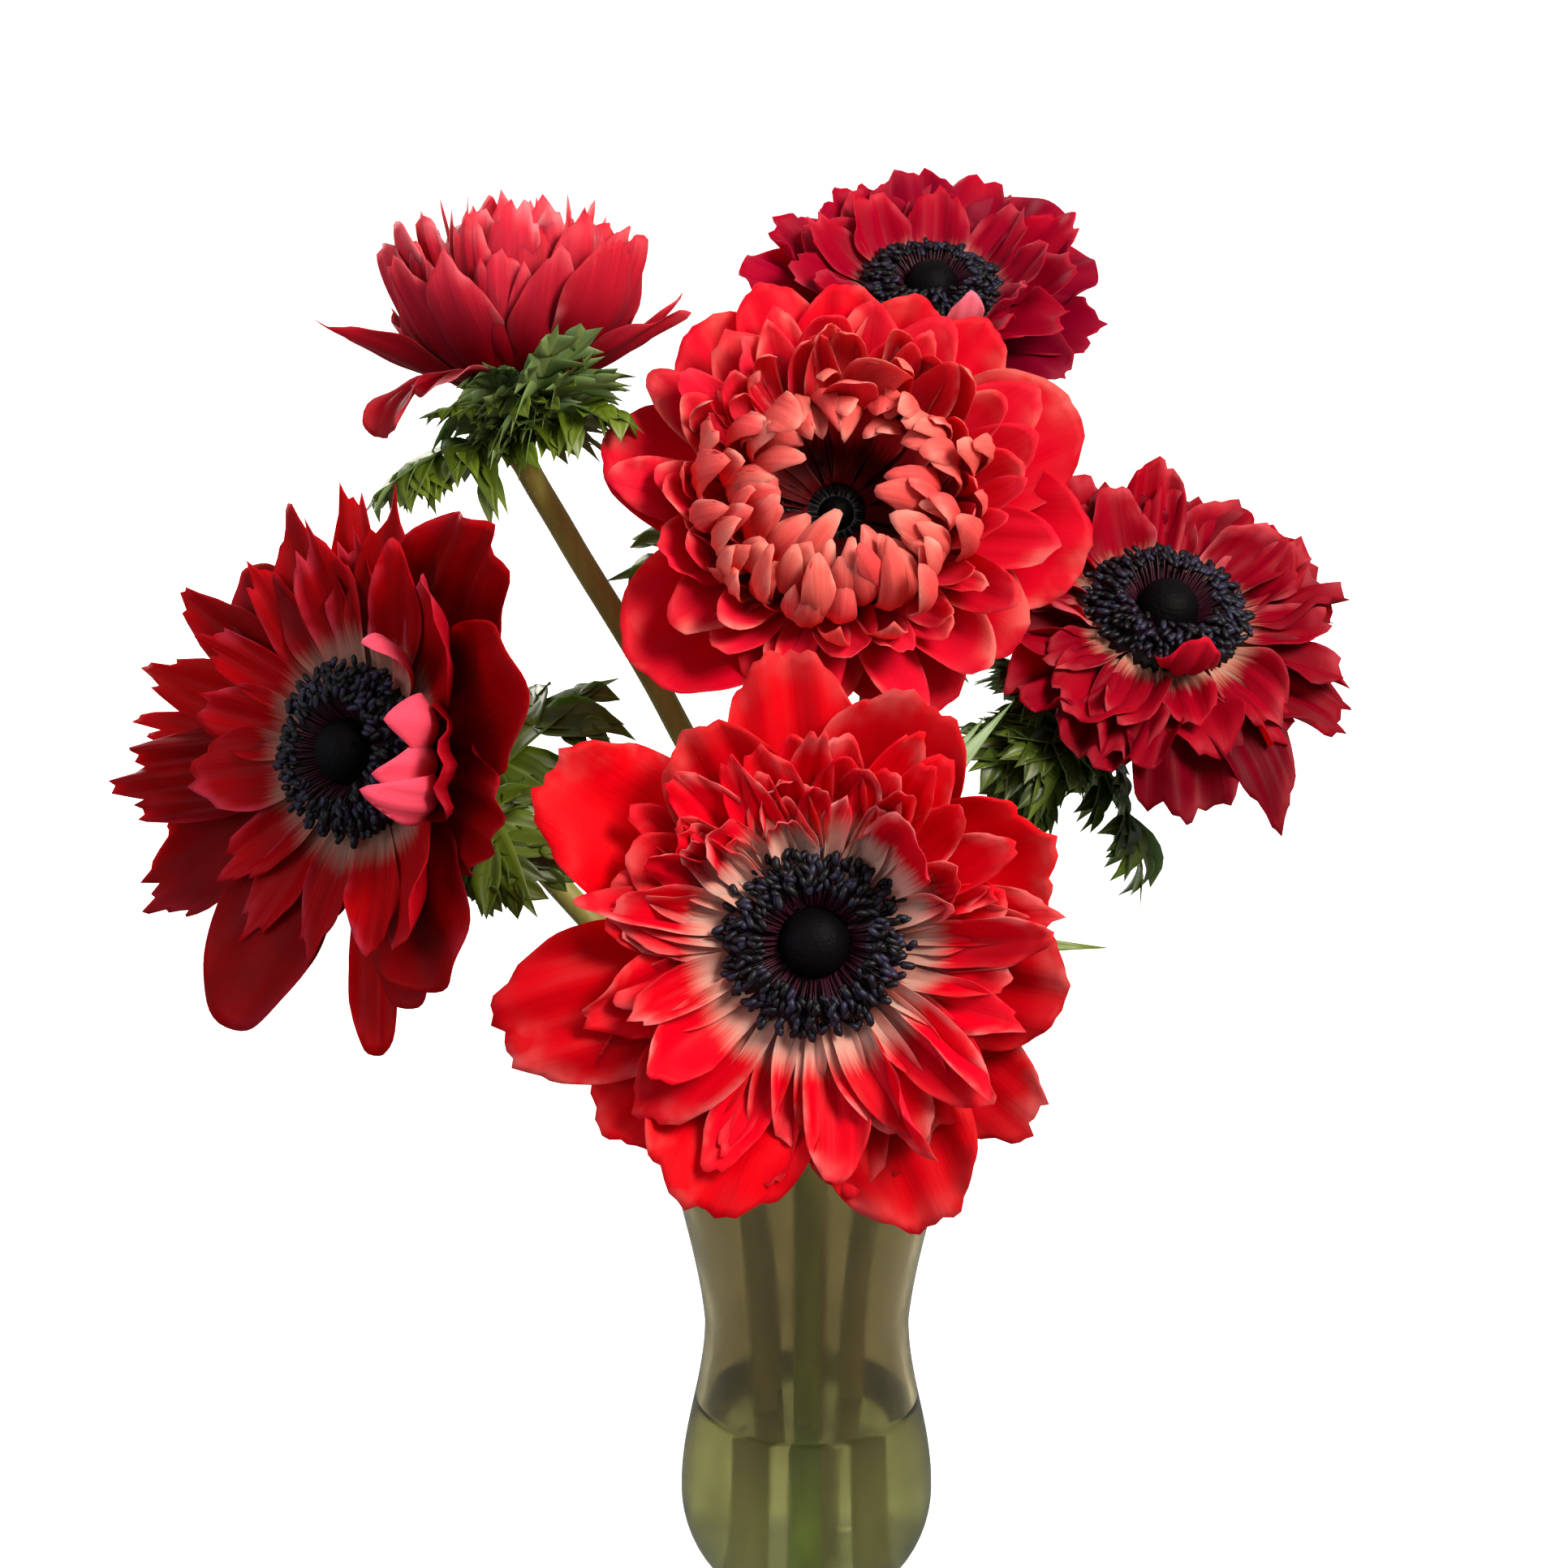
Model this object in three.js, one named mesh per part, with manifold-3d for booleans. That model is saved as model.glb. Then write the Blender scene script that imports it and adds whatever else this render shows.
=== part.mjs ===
// Six double anemones standing in a small waisted glass vase of water.
// Millimetres, +Z up. The origin is the centre of the vase's flat foot, and -Y is the side seen first.
import * as THREE from "three";
import { mergeVertices } from "three/addons/utils/BufferGeometryUtils.js";
import Module from "manifold-3d";

const wasm = await Module();
wasm.setup();

// The vase: a round bowl on a flat foot, a waist, and a mouth that flares
const FOOT_RADIUS = 14.5;
const HEEL_HEIGHT = 1.2;
const BOWL_RADIUS = 23.4;
const BOWL_HEIGHT = 19;
const WAIST_RADIUS = 18.8;
const WAIST_HEIGHT = 54;
const MOUTH_RADIUS = 26.5;
const VASE_HEIGHT = 98;
const GLASS_WALL = 1.6;
const GLASS_FLOOR = 5;
const FLOOR_FILLET = 3;
const WATER_LEVEL = 38;
const VASE_SIDES = 24;
const WET_STEPS = 3;
const DRY_STEPS = 4;
const OUTER_STEPS = 9;
const FLARE_CURVED = 0.25;
const FLARE_STRAIGHT = 0.5;

// Stems, leaves and the clearance that separate pieces keep
const GAP = 0.3;
const STEM_RADIUS = 2.3;
const STEM_SIDES = 6;
const STEM_STEPS = 14;
const STEM_FOOT_RING = 8.5;
const STEM_WAIST_RING = 9;
const STEM_MOUTH_RING = 15;
const NODE_RADIUS = 3.4;
const NODE_LENGTH = 6;
const LEAF_THICKNESS = 0.9;
const LEAF_ROOT_RADIUS = 0.8;
const LEAF_FOLD = 0.28;

// A collar leaf as shares of its length: where each pair of segments leaves the rib, at what angle
// and how far it reaches, the corners of a segment's forked tip, and one side of the end lobe
const LEAF_SEGMENTS = [{ root: 0.2, angle: 60, reach: 0.5 }, { root: 0.46, angle: 44, reach: 0.48 }];
const LEAF_FORK = [{ turn: 14, share: 0.88 }, { turn: 4, share: 0.55 }, { turn: -10, share: 1 }];
const LEAF_CROWN = [[0.68, 0.05], [0.84, 0.14], [0.82, 0.04]];
const LEAF_RIB = 0.05;
const LEAF_NOTCH = 0.04;
const LEAF_VARIETY = 0.12;

// The disc that carries the petals, whose roots are set in it layer above layer
const DISC_RADIUS = 7.6;
const DISC_UNDER = 3.6;
const DISC_OVER = 1;
const DISC_SIDES = 8;
const DISC_TAPER = 0.6;
const ROOT_RADIUS = 5;
const LOWEST_ROOT = -2.7;
const LAYER_STEP = 1;
const BLADE = 1.3;

// The dark dome over the disc, and the two tiers of stamens round it
const DOME_RADIUS = 6.4;
const DOME_HEIGHT = 8.6;
const DOME_SIDES = 10;
const DOME_SHAPE = [[0.7, 0], [1, 0.3], [0.86, 0.72], [0, 1]];
const STAMENS_PER_TIER = 7;
const STAMEN_TIERS = [{ reach: 14.8, rise: 5.4 }, { reach: 11.6, rise: 7.2 }];
const STAMEN_ROOT = 2;
const FILAMENT = { share: 0.3, thick: 0.45 };
const ANTHER = { share: 0.84, thick: 1.2 };
const STAMEN_VARIETY = { angle: 5, reach: 0.06 };

// A petal's outline: the share of its length where it is widest, how blunt and sharp its tip is, and
// how much its section is cupped. A tepal with a half width above ROUND_ABOVE is round.
const ROUND = { peak: 0.6, blunt: 2.5, sharp: 0.58, cup: 0.2 };
const POINTED = { peak: 0.5, blunt: 1.6, sharp: 0.92, cup: 0.28 };
const ROUND_ABOVE = 8;

// The claw is the width at the root as a share of the widest, and the roll at the tip is in degrees.
// Every second tepal starts a little steeper and higher, so that neighbours overlap freely.
const TEPAL = { claw: 0.16, roll: 6, sweep: 0, layer: 0 };
const SECOND_TEPAL = { rise: 3, root: 0.5 };
const INNER_PETAL = { claw: 0.24, roll: 9 };
const PETAL_VARIETY = { angle: 3, length: 0.08, half: 0.1, tip: 0.14, sweep: 0.04 };
const PETAL_ROWS = [0, 0.42, 0.82];
const SMALL_PETAL_ROWS = [0, 0.52];

// Each bloom: where its disc is, which way it faces (degrees round from the front, and above the
// horizon), its stem's way up, its collar's leaves and its petals. A leaf is [angle round the stem,
// length, rise, bend]. An outer tepal is [angle, length, half width, slope at the tip], and a ring is
// a count of petals of one shape whose slope turns from rise to tip.
const BLOOMS = [
  {
    name: "front",
    colour: "#e0101c",
    at: [0.7, -65, 155],
    faces: [0, 20],
    foot: 270,
    way: [[0.5, -20, 108], [0.7, -33, 132]],
    neck: 22,
    collar: 20,
    leaves: [[-4, 44, 8, -40], [125, 27, 20, -60], [240, 26, 20, -70]],
    heart: 1,
    rise: 5,
    tepals: [
      [96, 43, 11, 18], [67, 40, 12.5, 22], [24, 38, 12.5, 24], [-11, 38, 12, 20], [-40, 42, 9.5, 12],
      [-67, 45, 13, 14], [-114, 43, 14, 18], [-164, 49, 13, 12], [148, 48, 13, 20], [120, 38, 10, 34],
    ],
    rings: [
      { shape: ROUND, count: 10, length: 36, half: 7, rise: 9, tip: 36, first: 8 },
      { shape: ROUND, count: 10, length: 31, half: 6, rise: 10, tip: 52, first: 26 },
      { shape: POINTED, count: 9, length: 25, half: 4.6, rise: 11, tip: 68, first: 3 },
    ],
  },
  {
    name: "coral",
    colour: "#e62a3c",
    at: [4.7, 0, 207.2],
    faces: [2, 33],
    foot: null,
    way: [[1, 5, 120], [3, 14, 160]],
    neck: 22,
    collar: 18,
    leaves: [[186, 40, 8, -30], [-48, 36, 8, -30], [80, 25, 20, -60]],
    heart: 0.56,
    rise: 6,
    tepals: [
      [124, 37, 12, 22], [165, 38, 12, 20], [-141, 40, 14, 16], [-104, 33, 11, 14], [-66, 35, 11, 14],
      [-38, 35, 10, 20], [-9, 40, 13, 16], [22, 41, 13, 18], [52, 40, 11, 24], [86, 38, 12, 28],
    ],
    rings: [
      { shape: ROUND, count: 11, length: 33, half: 6.4, rise: 11, tip: 44, first: 12 },
      { shape: ROUND, count: 11, length: 27, half: 5.6, rise: 13, tip: 70, first: 0 },
      { shape: POINTED, count: 12, length: 22, half: 4.2, rise: 15, tip: 114, first: 9 },
    ],
  },
  {
    name: "left",
    colour: "#a00a18",
    at: [-75.4, -22, 172.3],
    faces: [-40, 17],
    foot: 205,
    way: [[-24, -8, 118], [-42, -3, 138], [-56, 0, 153]],
    neck: 14,
    collar: 27,
    leaves: [[38, 34, 12, -46], [-68, 30, 12, -50], [165, 26, 20, -70]],
    heart: 1,
    rise: 5,
    tepals: [
      [177, 53, 7, 6], [159, 47, 7, 8], [142, 48, 7.5, 6], [124, 42, 8, 10], [106, 43, 7.5, 8],
      [89, 43, 8, 8], [58, 48, 13, 24], [27, 48, 13, 30], [-6, 40, 11, 32],
      [-42, 43, 13, 24], [-64, 44, 9, 14], [-84, 49, 7, 6], [-110, 48, 11, 10], [-136, 48, 8.5, 6],
      [-160, 50, 8.5, 6],
    ],
    rings: [
      { shape: POINTED, count: 12, length: 34, half: 5.6, rise: 9, tip: 32, first: 10 },
      { shape: POINTED, count: 5, length: 27, half: 4.8, rise: 10, tip: 78, first: -36, span: 122 },
    ],
  },
  {
    name: "nodding",
    colour: "#cf3c4c",
    at: [-50.8, 15, 228.4],
    faces: [185, 62],
    foot: 145,
    way: [[-8, 11, 128], [-24.6, 13, 168], [-42.5, 14, 200]],
    neck: 12,
    collar: 8,
    leaves: [[-30, 33, 44, -90], [202, 32, 16, -60], [278, 22, 56, -60]],
    heart: 0.38,
    rise: 14,
    tepals: [
      [4, 33, 7, 34], [36, 30, 8.5, -46], [66, 31, 8, 74], [98, 30, 9, 76], [130, 33, 10, 68],
      [168, 29, 9, 34], [190, 30, 6, 52], [216, 33, 9, 74], [250, 33, 9, 78], [286, 33, 9, 78],
      [322, 33, 9, 74],
    ],
    rings: [
      { shape: POINTED, count: 10, length: 32.5, half: 6.6, rise: 30, tip: 88, first: 20 },
      { shape: POINTED, count: 8, length: 32, half: 5.6, rise: 46, tip: 94, first: 0 },
      { shape: POINTED, count: 6, length: 31, half: 4.4, rise: 58, tip: 98, first: 20 },
    ],
  },
  {
    name: "back",
    colour: "#bd0c30",
    at: [22.6, 60, 230.6],
    faces: [4, 70],
    foot: 80,
    way: [[8, 30, 130], [17, 50, 180]],
    neck: 22,
    collar: 16,
    leaves: [[50, 24, 26, -64], [170, 26, 26, -64], [290, 24, 26, -64]],
    heart: 0.92,
    rise: 6,
    tepals: [
      [8, 30, 10, 30], [38, 31, 12, 40], [68, 29, 9, 46], [96, 30, 9, 46], [124, 30, 8, 44],
      [150, 31, 8, 36], [180, 34, 11, 26], [222, 30, 11, 22], [264, 30, 11, 20], [303, 33, 9, 6],
      [332, 31, 9, 12],
    ],
    rings: [
      { shape: POINTED, count: 11, length: 28, half: 5.4, rise: 12, tip: 50, first: 22 },
      { shape: POINTED, count: 8, length: 23, half: 4.6, rise: 13, tip: 66, first: 0 },
    ],
  },
  {
    name: "right",
    colour: "#c80a22",
    at: [62.4, 10, 184.4],
    faces: [21, 64],
    foot: 12,
    way: [[21, 4, 118], [34, 7, 146], [43, 9, 161]],
    neck: 9,
    collar: 26,
    leaves: [[-6, 34, 10, -60], [178, 22, 20, -50], [268, 27, 16, -40]],
    heart: 0.96,
    rise: 5,
    tepals: [
      [5, 30, 9, 10], [35, 27, 10, 30], [65, 26, 10, 36], [95, 26, 9, 38], [128, 26, 10, 32],
      [165, 27, 9, 16], [200, 29, 9, 4], [234, 30, 10, -6], [260, 33, 10, -16], [286, 40, 7, -30],
      [322, 31, 9, -8],
    ],
    rings: [
      { shape: POINTED, count: 10, length: 27, half: 5.4, rise: 11, tip: 36, first: 18 },
      { shape: POINTED, count: 8, length: 22, half: 4.6, rise: 12, tip: 52, first: 3 },
    ],
  },
];

const DEGREE = Math.PI / 180;
const UP = new THREE.Vector3(0, 0, 1);

// A repeatable draw between -1 and 1 for each number
function draw(number) {
  const wave = Math.sin(number * 12.9898 + 4.1414) * 43758.5453;
  return 2 * (wave - Math.floor(wave)) - 1;
}

function solidOf(geometry) {
  geometry.deleteAttribute("normal");
  geometry.deleteAttribute("uv");
  const merged = mergeVertices(geometry, 1e-4);
  const vertProperties = new Float32Array(merged.attributes.position.array);
  const triVerts = new Uint32Array(merged.index.array);
  return new wasm.Manifold(new wasm.Mesh({ numProp: 3, vertProperties, triVerts }));
}

function geometryOf(solid) {
  const made = solid.getMesh();
  const geometry = new THREE.BufferGeometry();
  geometry.setAttribute("position", new THREE.BufferAttribute(new Float32Array(made.vertProperties), 3));
  geometry.setIndex(new THREE.BufferAttribute(new Uint32Array(made.triVerts), 1));
  return geometry;
}

function indexedGeometry(points, triangles) {
  const geometry = new THREE.BufferGeometry();
  geometry.setAttribute("position", new THREE.Float32BufferAttribute(points.flat(), 3));
  geometry.setIndex(triangles.flat());
  return geometry;
}

function largestBody(solid) {
  return solid.decompose().reduce((best, body) => (body.volume() > best.volume() ? body : best));
}

function join(solids) {
  return largestBody(wasm.Manifold.union(solids));
}

// A shape turned about Z from a profile of [radius, height] points that starts and ends on the axis
function latheGeometry(profile, sides) {
  const points = profile.map(([r, z]) => new THREE.Vector2(r, z));
  return new THREE.LatheGeometry(points, sides).rotateX(Math.PI / 2);
}

function lathe(profile, sides) {
  return solidOf(latheGeometry(profile, sides));
}

// The vase's outer radius at a height: a ball's curve, a cosine to the waist, then a flare
function vaseRadius(height) {
  if (height < BOWL_HEIGHT) return Math.sqrt(BOWL_RADIUS ** 2 - (BOWL_HEIGHT - height) ** 2);
  if (height < WAIST_HEIGHT) {
    const share = (height - BOWL_HEIGHT) / (WAIST_HEIGHT - BOWL_HEIGHT);
    return WAIST_RADIUS + (BOWL_RADIUS - WAIST_RADIUS) * (0.5 + 0.5 * Math.cos(Math.PI * share));
  }
  const share = (height - WAIST_HEIGHT) / (VASE_HEIGHT - WAIST_HEIGHT);
  const flare = FLARE_CURVED * (1 - Math.cos(Math.PI * share)) + FLARE_STRAIGHT * share;
  return WAIST_RADIUS + (MOUTH_RADIUS - WAIST_RADIUS) * flare;
}

function heightsBetween(low, high, steps) {
  return Array.from({ length: steps + 1 }, (_, i) => low + ((high - low) * i) / steps);
}

// Heights of the inner wall that the water touches, which both solids share
function wetHeights() {
  return heightsBetween(GLASS_FLOOR + FLOOR_FILLET, WATER_LEVEL, WET_STEPS);
}

// The glass: outer wall up, rounded lip, inner wall down to the thick floor
function vaseSolid() {
  const lip = VASE_HEIGHT - GLASS_WALL / 2;
  const outer = heightsBetween(HEEL_HEIGHT, lip, OUTER_STEPS).map((z) => [vaseRadius(z), z]);
  const inner = [...wetHeights(), ...heightsBetween(WATER_LEVEL, lip, DRY_STEPS).slice(1)]
    .map((z) => [vaseRadius(z) - GLASS_WALL, z]);
  return lathe([
    [0, 0], [FOOT_RADIUS, 0], ...outer,
    [MOUTH_RADIUS - GLASS_WALL / 2, VASE_HEIGHT], ...inner.reverse(),
    [vaseRadius(GLASS_FLOOR) - GLASS_WALL - FLOOR_FILLET, GLASS_FLOOR], [0, GLASS_FLOOR],
  ], VASE_SIDES);
}

// The water fills the bowl to its level, a hair inside the glass, with a plain hole for each stem
function waterSolid(stemHoles) {
  const bottom = GLASS_FLOOR + GAP;
  const floorRadius = vaseRadius(GLASS_FLOOR) - GLASS_WALL - FLOOR_FILLET - GAP;
  const profile = wetHeights().map((z) => [vaseRadius(z) - GLASS_WALL - GAP, z]);
  const body = lathe([[0, bottom], [floorRadius, bottom], ...profile, [0, WATER_LEVEL]], VASE_SIDES);
  return largestBody(body.subtract(wasm.Manifold.union(stemHoles)));
}

// A frame at a point with Z along an axis and X near to a hint
function frameAt(point, axis, hint) {
  const y = new THREE.Vector3().crossVectors(axis, hint).normalize();
  const x = new THREE.Vector3().crossVectors(y, axis);
  return new THREE.Matrix4().makeBasis(x, y, axis).setPosition(point);
}

// The frame of a bloom: Z out of its face, X to the right and Y up when it is faced
function bloomFrame(bloom) {
  const [around, above] = bloom.faces.map((angle) => angle * DEGREE);
  const axis = new THREE.Vector3(
    Math.sin(around) * Math.cos(above), -Math.cos(around) * Math.cos(above), Math.sin(above));
  return frameAt(new THREE.Vector3(...bloom.at), axis, new THREE.Vector3().crossVectors(UP, axis));
}

// How far out and how high an arc has gone at share s of its length, as its slope turns from rise
function arcPoint(length, rise, turn, s) {
  if (Math.abs(turn) < 1e-6) return [length * s * Math.cos(rise), length * s * Math.sin(rise)];
  const slope = rise + turn * s;
  return [
    (length * (Math.sin(slope) - Math.sin(rise))) / turn,
    (length * (Math.cos(rise) - Math.cos(slope))) / turn,
  ];
}

// A petal's half width: it widens from a narrow claw to its peak, then closes to its tip
function petalHalfWidth(petal, s) {
  if (s < petal.peak) {
    const t = s / petal.peak;
    return petal.half * (petal.claw + (1 - petal.claw) * t * t * (3 - 2 * t));
  }
  const x = (s - petal.peak) / (1 - petal.peak);
  return petal.half * Math.max(0, 1 - x ** petal.blunt) ** petal.sharp;
}

// A point of a petal: s runs from claw to tip, v from edge to edge, and lift is off its middle surface.
// The midline is an arc whose slope turns from rise to tip. The section is a cupped, rolled parabola.
function petalPoint(petal, s, v, lift) {
  const rise = petal.rise * DEGREE;
  const turn = (petal.tip - petal.rise) * DEGREE;
  const slope = rise + turn * s;
  const across = v * petalHalfWidth(petal, s);
  const raised = petal.cup * Math.abs(v) * Math.abs(across) + lift;
  const roll = petal.roll * DEGREE * s;
  const side = across * Math.cos(roll) - raised * Math.sin(roll) + petal.sweep * petal.length * s * s;
  const off = across * Math.sin(roll) + raised * Math.cos(roll);
  const [out, high] = arcPoint(petal.length, rise, turn, s);
  const radius = ROOT_RADIUS + out - off * Math.sin(slope);
  const around = petal.angle * DEGREE;
  return [
    radius * Math.cos(around) - side * Math.sin(around),
    radius * Math.sin(around) + side * Math.cos(around),
    petal.root + high + off * Math.cos(slope),
  ];
}

// A petal as a thin lens: each row is an edge, a top, an edge and an underside, BLADE apart at the rib
function petalSolid(petal) {
  const rows = petal.layer > 1 ? SMALL_PETAL_ROWS : PETAL_ROWS;
  const corners = [[-1, 0], [0, BLADE / 2], [1, 0], [0, -BLADE / 2]];
  const points = rows.flatMap((s) => corners.map(([v, lift]) => petalPoint(petal, s, v, lift)));
  const tip = points.length;
  points.push(petalPoint(petal, 1, 0, 0));
  const triangles = [[0, 1, 2], [0, 2, 3]];
  for (let row = 0; row < rows.length - 1; row += 1) {
    const near = row * 4;
    const far = near + 4;
    triangles.push([near, far, far + 1], [near, far + 1, near + 1]);
    triangles.push([near + 1, far + 1, near + 2], [near + 2, far + 1, far + 2]);
    triangles.push([near + 2, far + 2, far + 3], [near + 2, far + 3, near + 3]);
    triangles.push([near + 3, far + 3, near], [near, far + 3, far]);
  }
  for (let i = 0; i < 4; i += 1) triangles.push([tip - 4 + i, tip, tip - 4 + ((i + 1) % 4)]);
  return solidOf(indexedGeometry(points, triangles));
}

// Every petal of a bloom: the outer tepals as listed, every second one raised, then the rings
function petalsOf(bloom, number) {
  const tepals = bloom.tepals.map(([angle, length, half, tip], i) => ({
    ...TEPAL,
    ...(half > ROUND_ABOVE ? ROUND : POINTED),
    angle, length, half, tip,
    rise: bloom.rise + SECOND_TEPAL.rise * (i % 2),
    root: LOWEST_ROOT + SECOND_TEPAL.root * (i % 2),
  }));
  const inner = bloom.rings.flatMap((ring, layer) => Array.from({ length: ring.count }, (_, i) => {
    const seed = number * 100 + layer * 20 + i;
    return {
      ...INNER_PETAL,
      ...ring.shape,
      angle: ring.first + ((ring.span ?? 360) * i) / ring.count + PETAL_VARIETY.angle * draw(seed),
      length: ring.length * (1 + PETAL_VARIETY.length * draw(seed + 0.3)),
      half: ring.half * (1 + PETAL_VARIETY.half * draw(seed + 0.6)),
      rise: ring.rise,
      tip: ring.tip * (1 + PETAL_VARIETY.tip * draw(seed + 0.9)),
      sweep: PETAL_VARIETY.sweep * draw(seed + 0.7),
      root: LOWEST_ROOT + LAYER_STEP * (layer + 1),
      layer: layer + 1,
    };
  }));
  return [...tepals, ...inner];
}

function petalsSolid(bloom, number) {
  const disc = lathe([
    [0, -DISC_UNDER], [DISC_RADIUS * DISC_TAPER, -DISC_UNDER], [DISC_RADIUS, LOWEST_ROOT],
    [DISC_RADIUS, DISC_OVER], [0, DISC_OVER],
  ], DISC_SIDES);
  return join([disc, ...petalsOf(bloom, number).map(petalSolid)]);
}

// A stamen: a three-sided filament that swells to its anther and ends in a point
function stamenSolid(around, reach, low, high, size) {
  const rings = [FILAMENT, { ...ANTHER, thick: ANTHER.thick * size }];
  const angle = around * DEGREE;
  const place = (share, side, lift) => [
    reach * share * Math.cos(angle) - side * Math.sin(angle),
    reach * share * Math.sin(angle) + side * Math.cos(angle),
    low + (high - low) * share + lift,
  ];
  const points = rings.flatMap((ring) => [90, 210, 330].map((corner) =>
    place(ring.share, ring.thick * Math.cos(corner * DEGREE), ring.thick * Math.sin(corner * DEGREE))));
  points.push(place(1, 0, 0));
  const triangles = [[0, 2, 1]];
  for (let i = 0; i < 3; i += 1) {
    const next = (i + 1) % 3;
    triangles.push([i, next, next + 3], [i, next + 3, i + 3], [i + 3, next + 3, 6]);
  }
  return solidOf(indexedGeometry(points, triangles));
}

// The dark heart: a dome just over the disc with its stamens standing out all round
function heartSolid(bloom, number) {
  const size = bloom.heart;
  const seat = DISC_OVER + GAP;
  const outline = DOME_SHAPE.map(([r, z]) => [DOME_RADIUS * size * r, seat + DOME_HEIGHT * size * z]);
  const dome = lathe([[0, seat], ...outline], DOME_SIDES);
  const stamens = STAMEN_TIERS.flatMap((tier, t) => Array.from({ length: STAMENS_PER_TIER }, (_, i) => {
    const seed = number * 40 + t * 20 + i;
    const around = ((i + t / 2) * 360) / STAMENS_PER_TIER + STAMEN_VARIETY.angle * draw(seed);
    const reach = tier.reach * size * (1 + STAMEN_VARIETY.reach * draw(seed + 0.5));
    return stamenSolid(around, reach, seat + STAMEN_ROOT * size, seat + tier.rise * size, size);
  }));
  return join([dome, ...stamens]);
}

// The line of a stem, from the vase's floor through the waist and mouth to the bloom's disc
function stemCurve(bloom) {
  const frame = bloomFrame(bloom);
  const along = (depth) => new THREE.Vector3(0, 0, -depth).applyMatrix4(frame);
  const onRing = (radius, height) => {
    const ring = bloom.foot === null ? 0 : radius;
    const angle = (bloom.foot ?? 0) * DEGREE;
    return new THREE.Vector3(ring * Math.cos(angle), ring * Math.sin(angle), height);
  };
  return new THREE.CatmullRomCurve3([
    onRing(STEM_FOOT_RING, GLASS_FLOOR + GAP),
    onRing(STEM_WAIST_RING, WAIST_HEIGHT),
    onRing(STEM_MOUTH_RING, VASE_HEIGHT),
    ...bloom.way.map((point) => new THREE.Vector3(...point)),
    along(bloom.neck),
    along(DISC_UNDER + GAP),
  ], false, "centripetal");
}

function stemTube(bloom, radius) {
  const section = new THREE.Shape();
  section.absarc(0, 0, radius, 0, 2 * Math.PI);
  const outline = new THREE.Shape(section.getSpacedPoints(STEM_SIDES).slice(0, STEM_SIDES));
  return solidOf(new THREE.ExtrudeGeometry(outline, { steps: STEM_STEPS, extrudePath: stemCurve(bloom) }));
}

// A leaf of the collar laid flat, its rib along X: forked segments either side and a three-pointed end
function leafOutline(length, seed) {
  const side = (sign) => [
    [0, sign * LEAF_RIB],
    ...LEAF_SEGMENTS.flatMap(({ root, angle, reach }, k) => {
      const grown = reach * (1 + LEAF_VARIETY * draw(seed + k + sign * 0.5));
      const fork = LEAF_FORK.map(({ turn, share }) => [
        root + grown * share * Math.cos((angle + turn) * DEGREE),
        sign * grown * share * Math.sin((angle + turn) * DEGREE),
      ]);
      return [[root, sign * LEAF_NOTCH], ...fork];
    }),
    ...LEAF_CROWN.map(([along, across]) => [along, sign * across]),
  ];
  const outline = [...side(-1), [1, 0], ...side(1).reverse()];
  return new THREE.Shape(outline.map((share) => new THREE.Vector2(...share).multiplyScalar(length)));
}

// A leaf bent along an arc and folded a little at its rib, springing outwards from the stem's axis
function leafGeometry([around, length, riseAngle, bendAngle], seed) {
  const flat = { depth: LEAF_THICKNESS, bevelEnabled: false };
  const leaf = new THREE.ExtrudeGeometry(leafOutline(length, seed), flat);
  const position = leaf.attributes.position;
  const rise = riseAngle * DEGREE;
  const turn = bendAngle * DEGREE;
  for (let i = 0; i < position.count; i += 1) {
    const across = position.getY(i);
    const s = position.getX(i) / length;
    const slope = rise + turn * s;
    const lift = position.getZ(i) - LEAF_THICKNESS / 2 - LEAF_FOLD * Math.abs(across);
    const [out, high] = arcPoint(length, rise, turn, s);
    position.setXYZ(i, LEAF_ROOT_RADIUS + out - lift * Math.sin(slope), across, high + lift * Math.cos(slope));
  }
  return leaf.rotateZ(around * DEGREE);
}

// A stem with its collar: three cut leaves that spring from one swollen node below the bloom
function stemSolid(bloom, number) {
  const curve = stemCurve(bloom);
  const share = 1 - bloom.collar / curve.getLength();
  const frame = frameAt(curve.getPointAt(share), curve.getTangentAt(share), new THREE.Vector3(1, 0, 0));
  const half = NODE_LENGTH / 2;
  const node = latheGeometry([
    [0, -half], [STEM_RADIUS, -half], [NODE_RADIUS, 0], [STEM_RADIUS, half], [0, half],
  ], STEM_SIDES);
  const leaves = bloom.leaves.map((leaf, i) => leafGeometry(leaf, number * 10 + i));
  const collar = [node, ...leaves].map((geometry) => solidOf(geometry.applyMatrix4(frame)));
  return join([stemTube(bloom, STEM_RADIUS), ...collar]);
}

function finish(color, roughness, extra = {}) {
  return new THREE.MeshStandardMaterial({ color, roughness, metalness: 0, ...extra });
}

function meshOf(name, solid, material) {
  const mesh = new THREE.Mesh(geometryOf(solid), material);
  mesh.name = name;
  return mesh;
}

const glass = finish("#a9ad93", 0.05, { transparent: true, opacity: 0.35 });
const water = finish("#c9cfb8", 0.02, { transparent: true, opacity: 0.4 });
const stemGreen = finish("#5b7a22", 0.55);
const heartBlack = finish("#14101c", 0.75);

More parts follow.
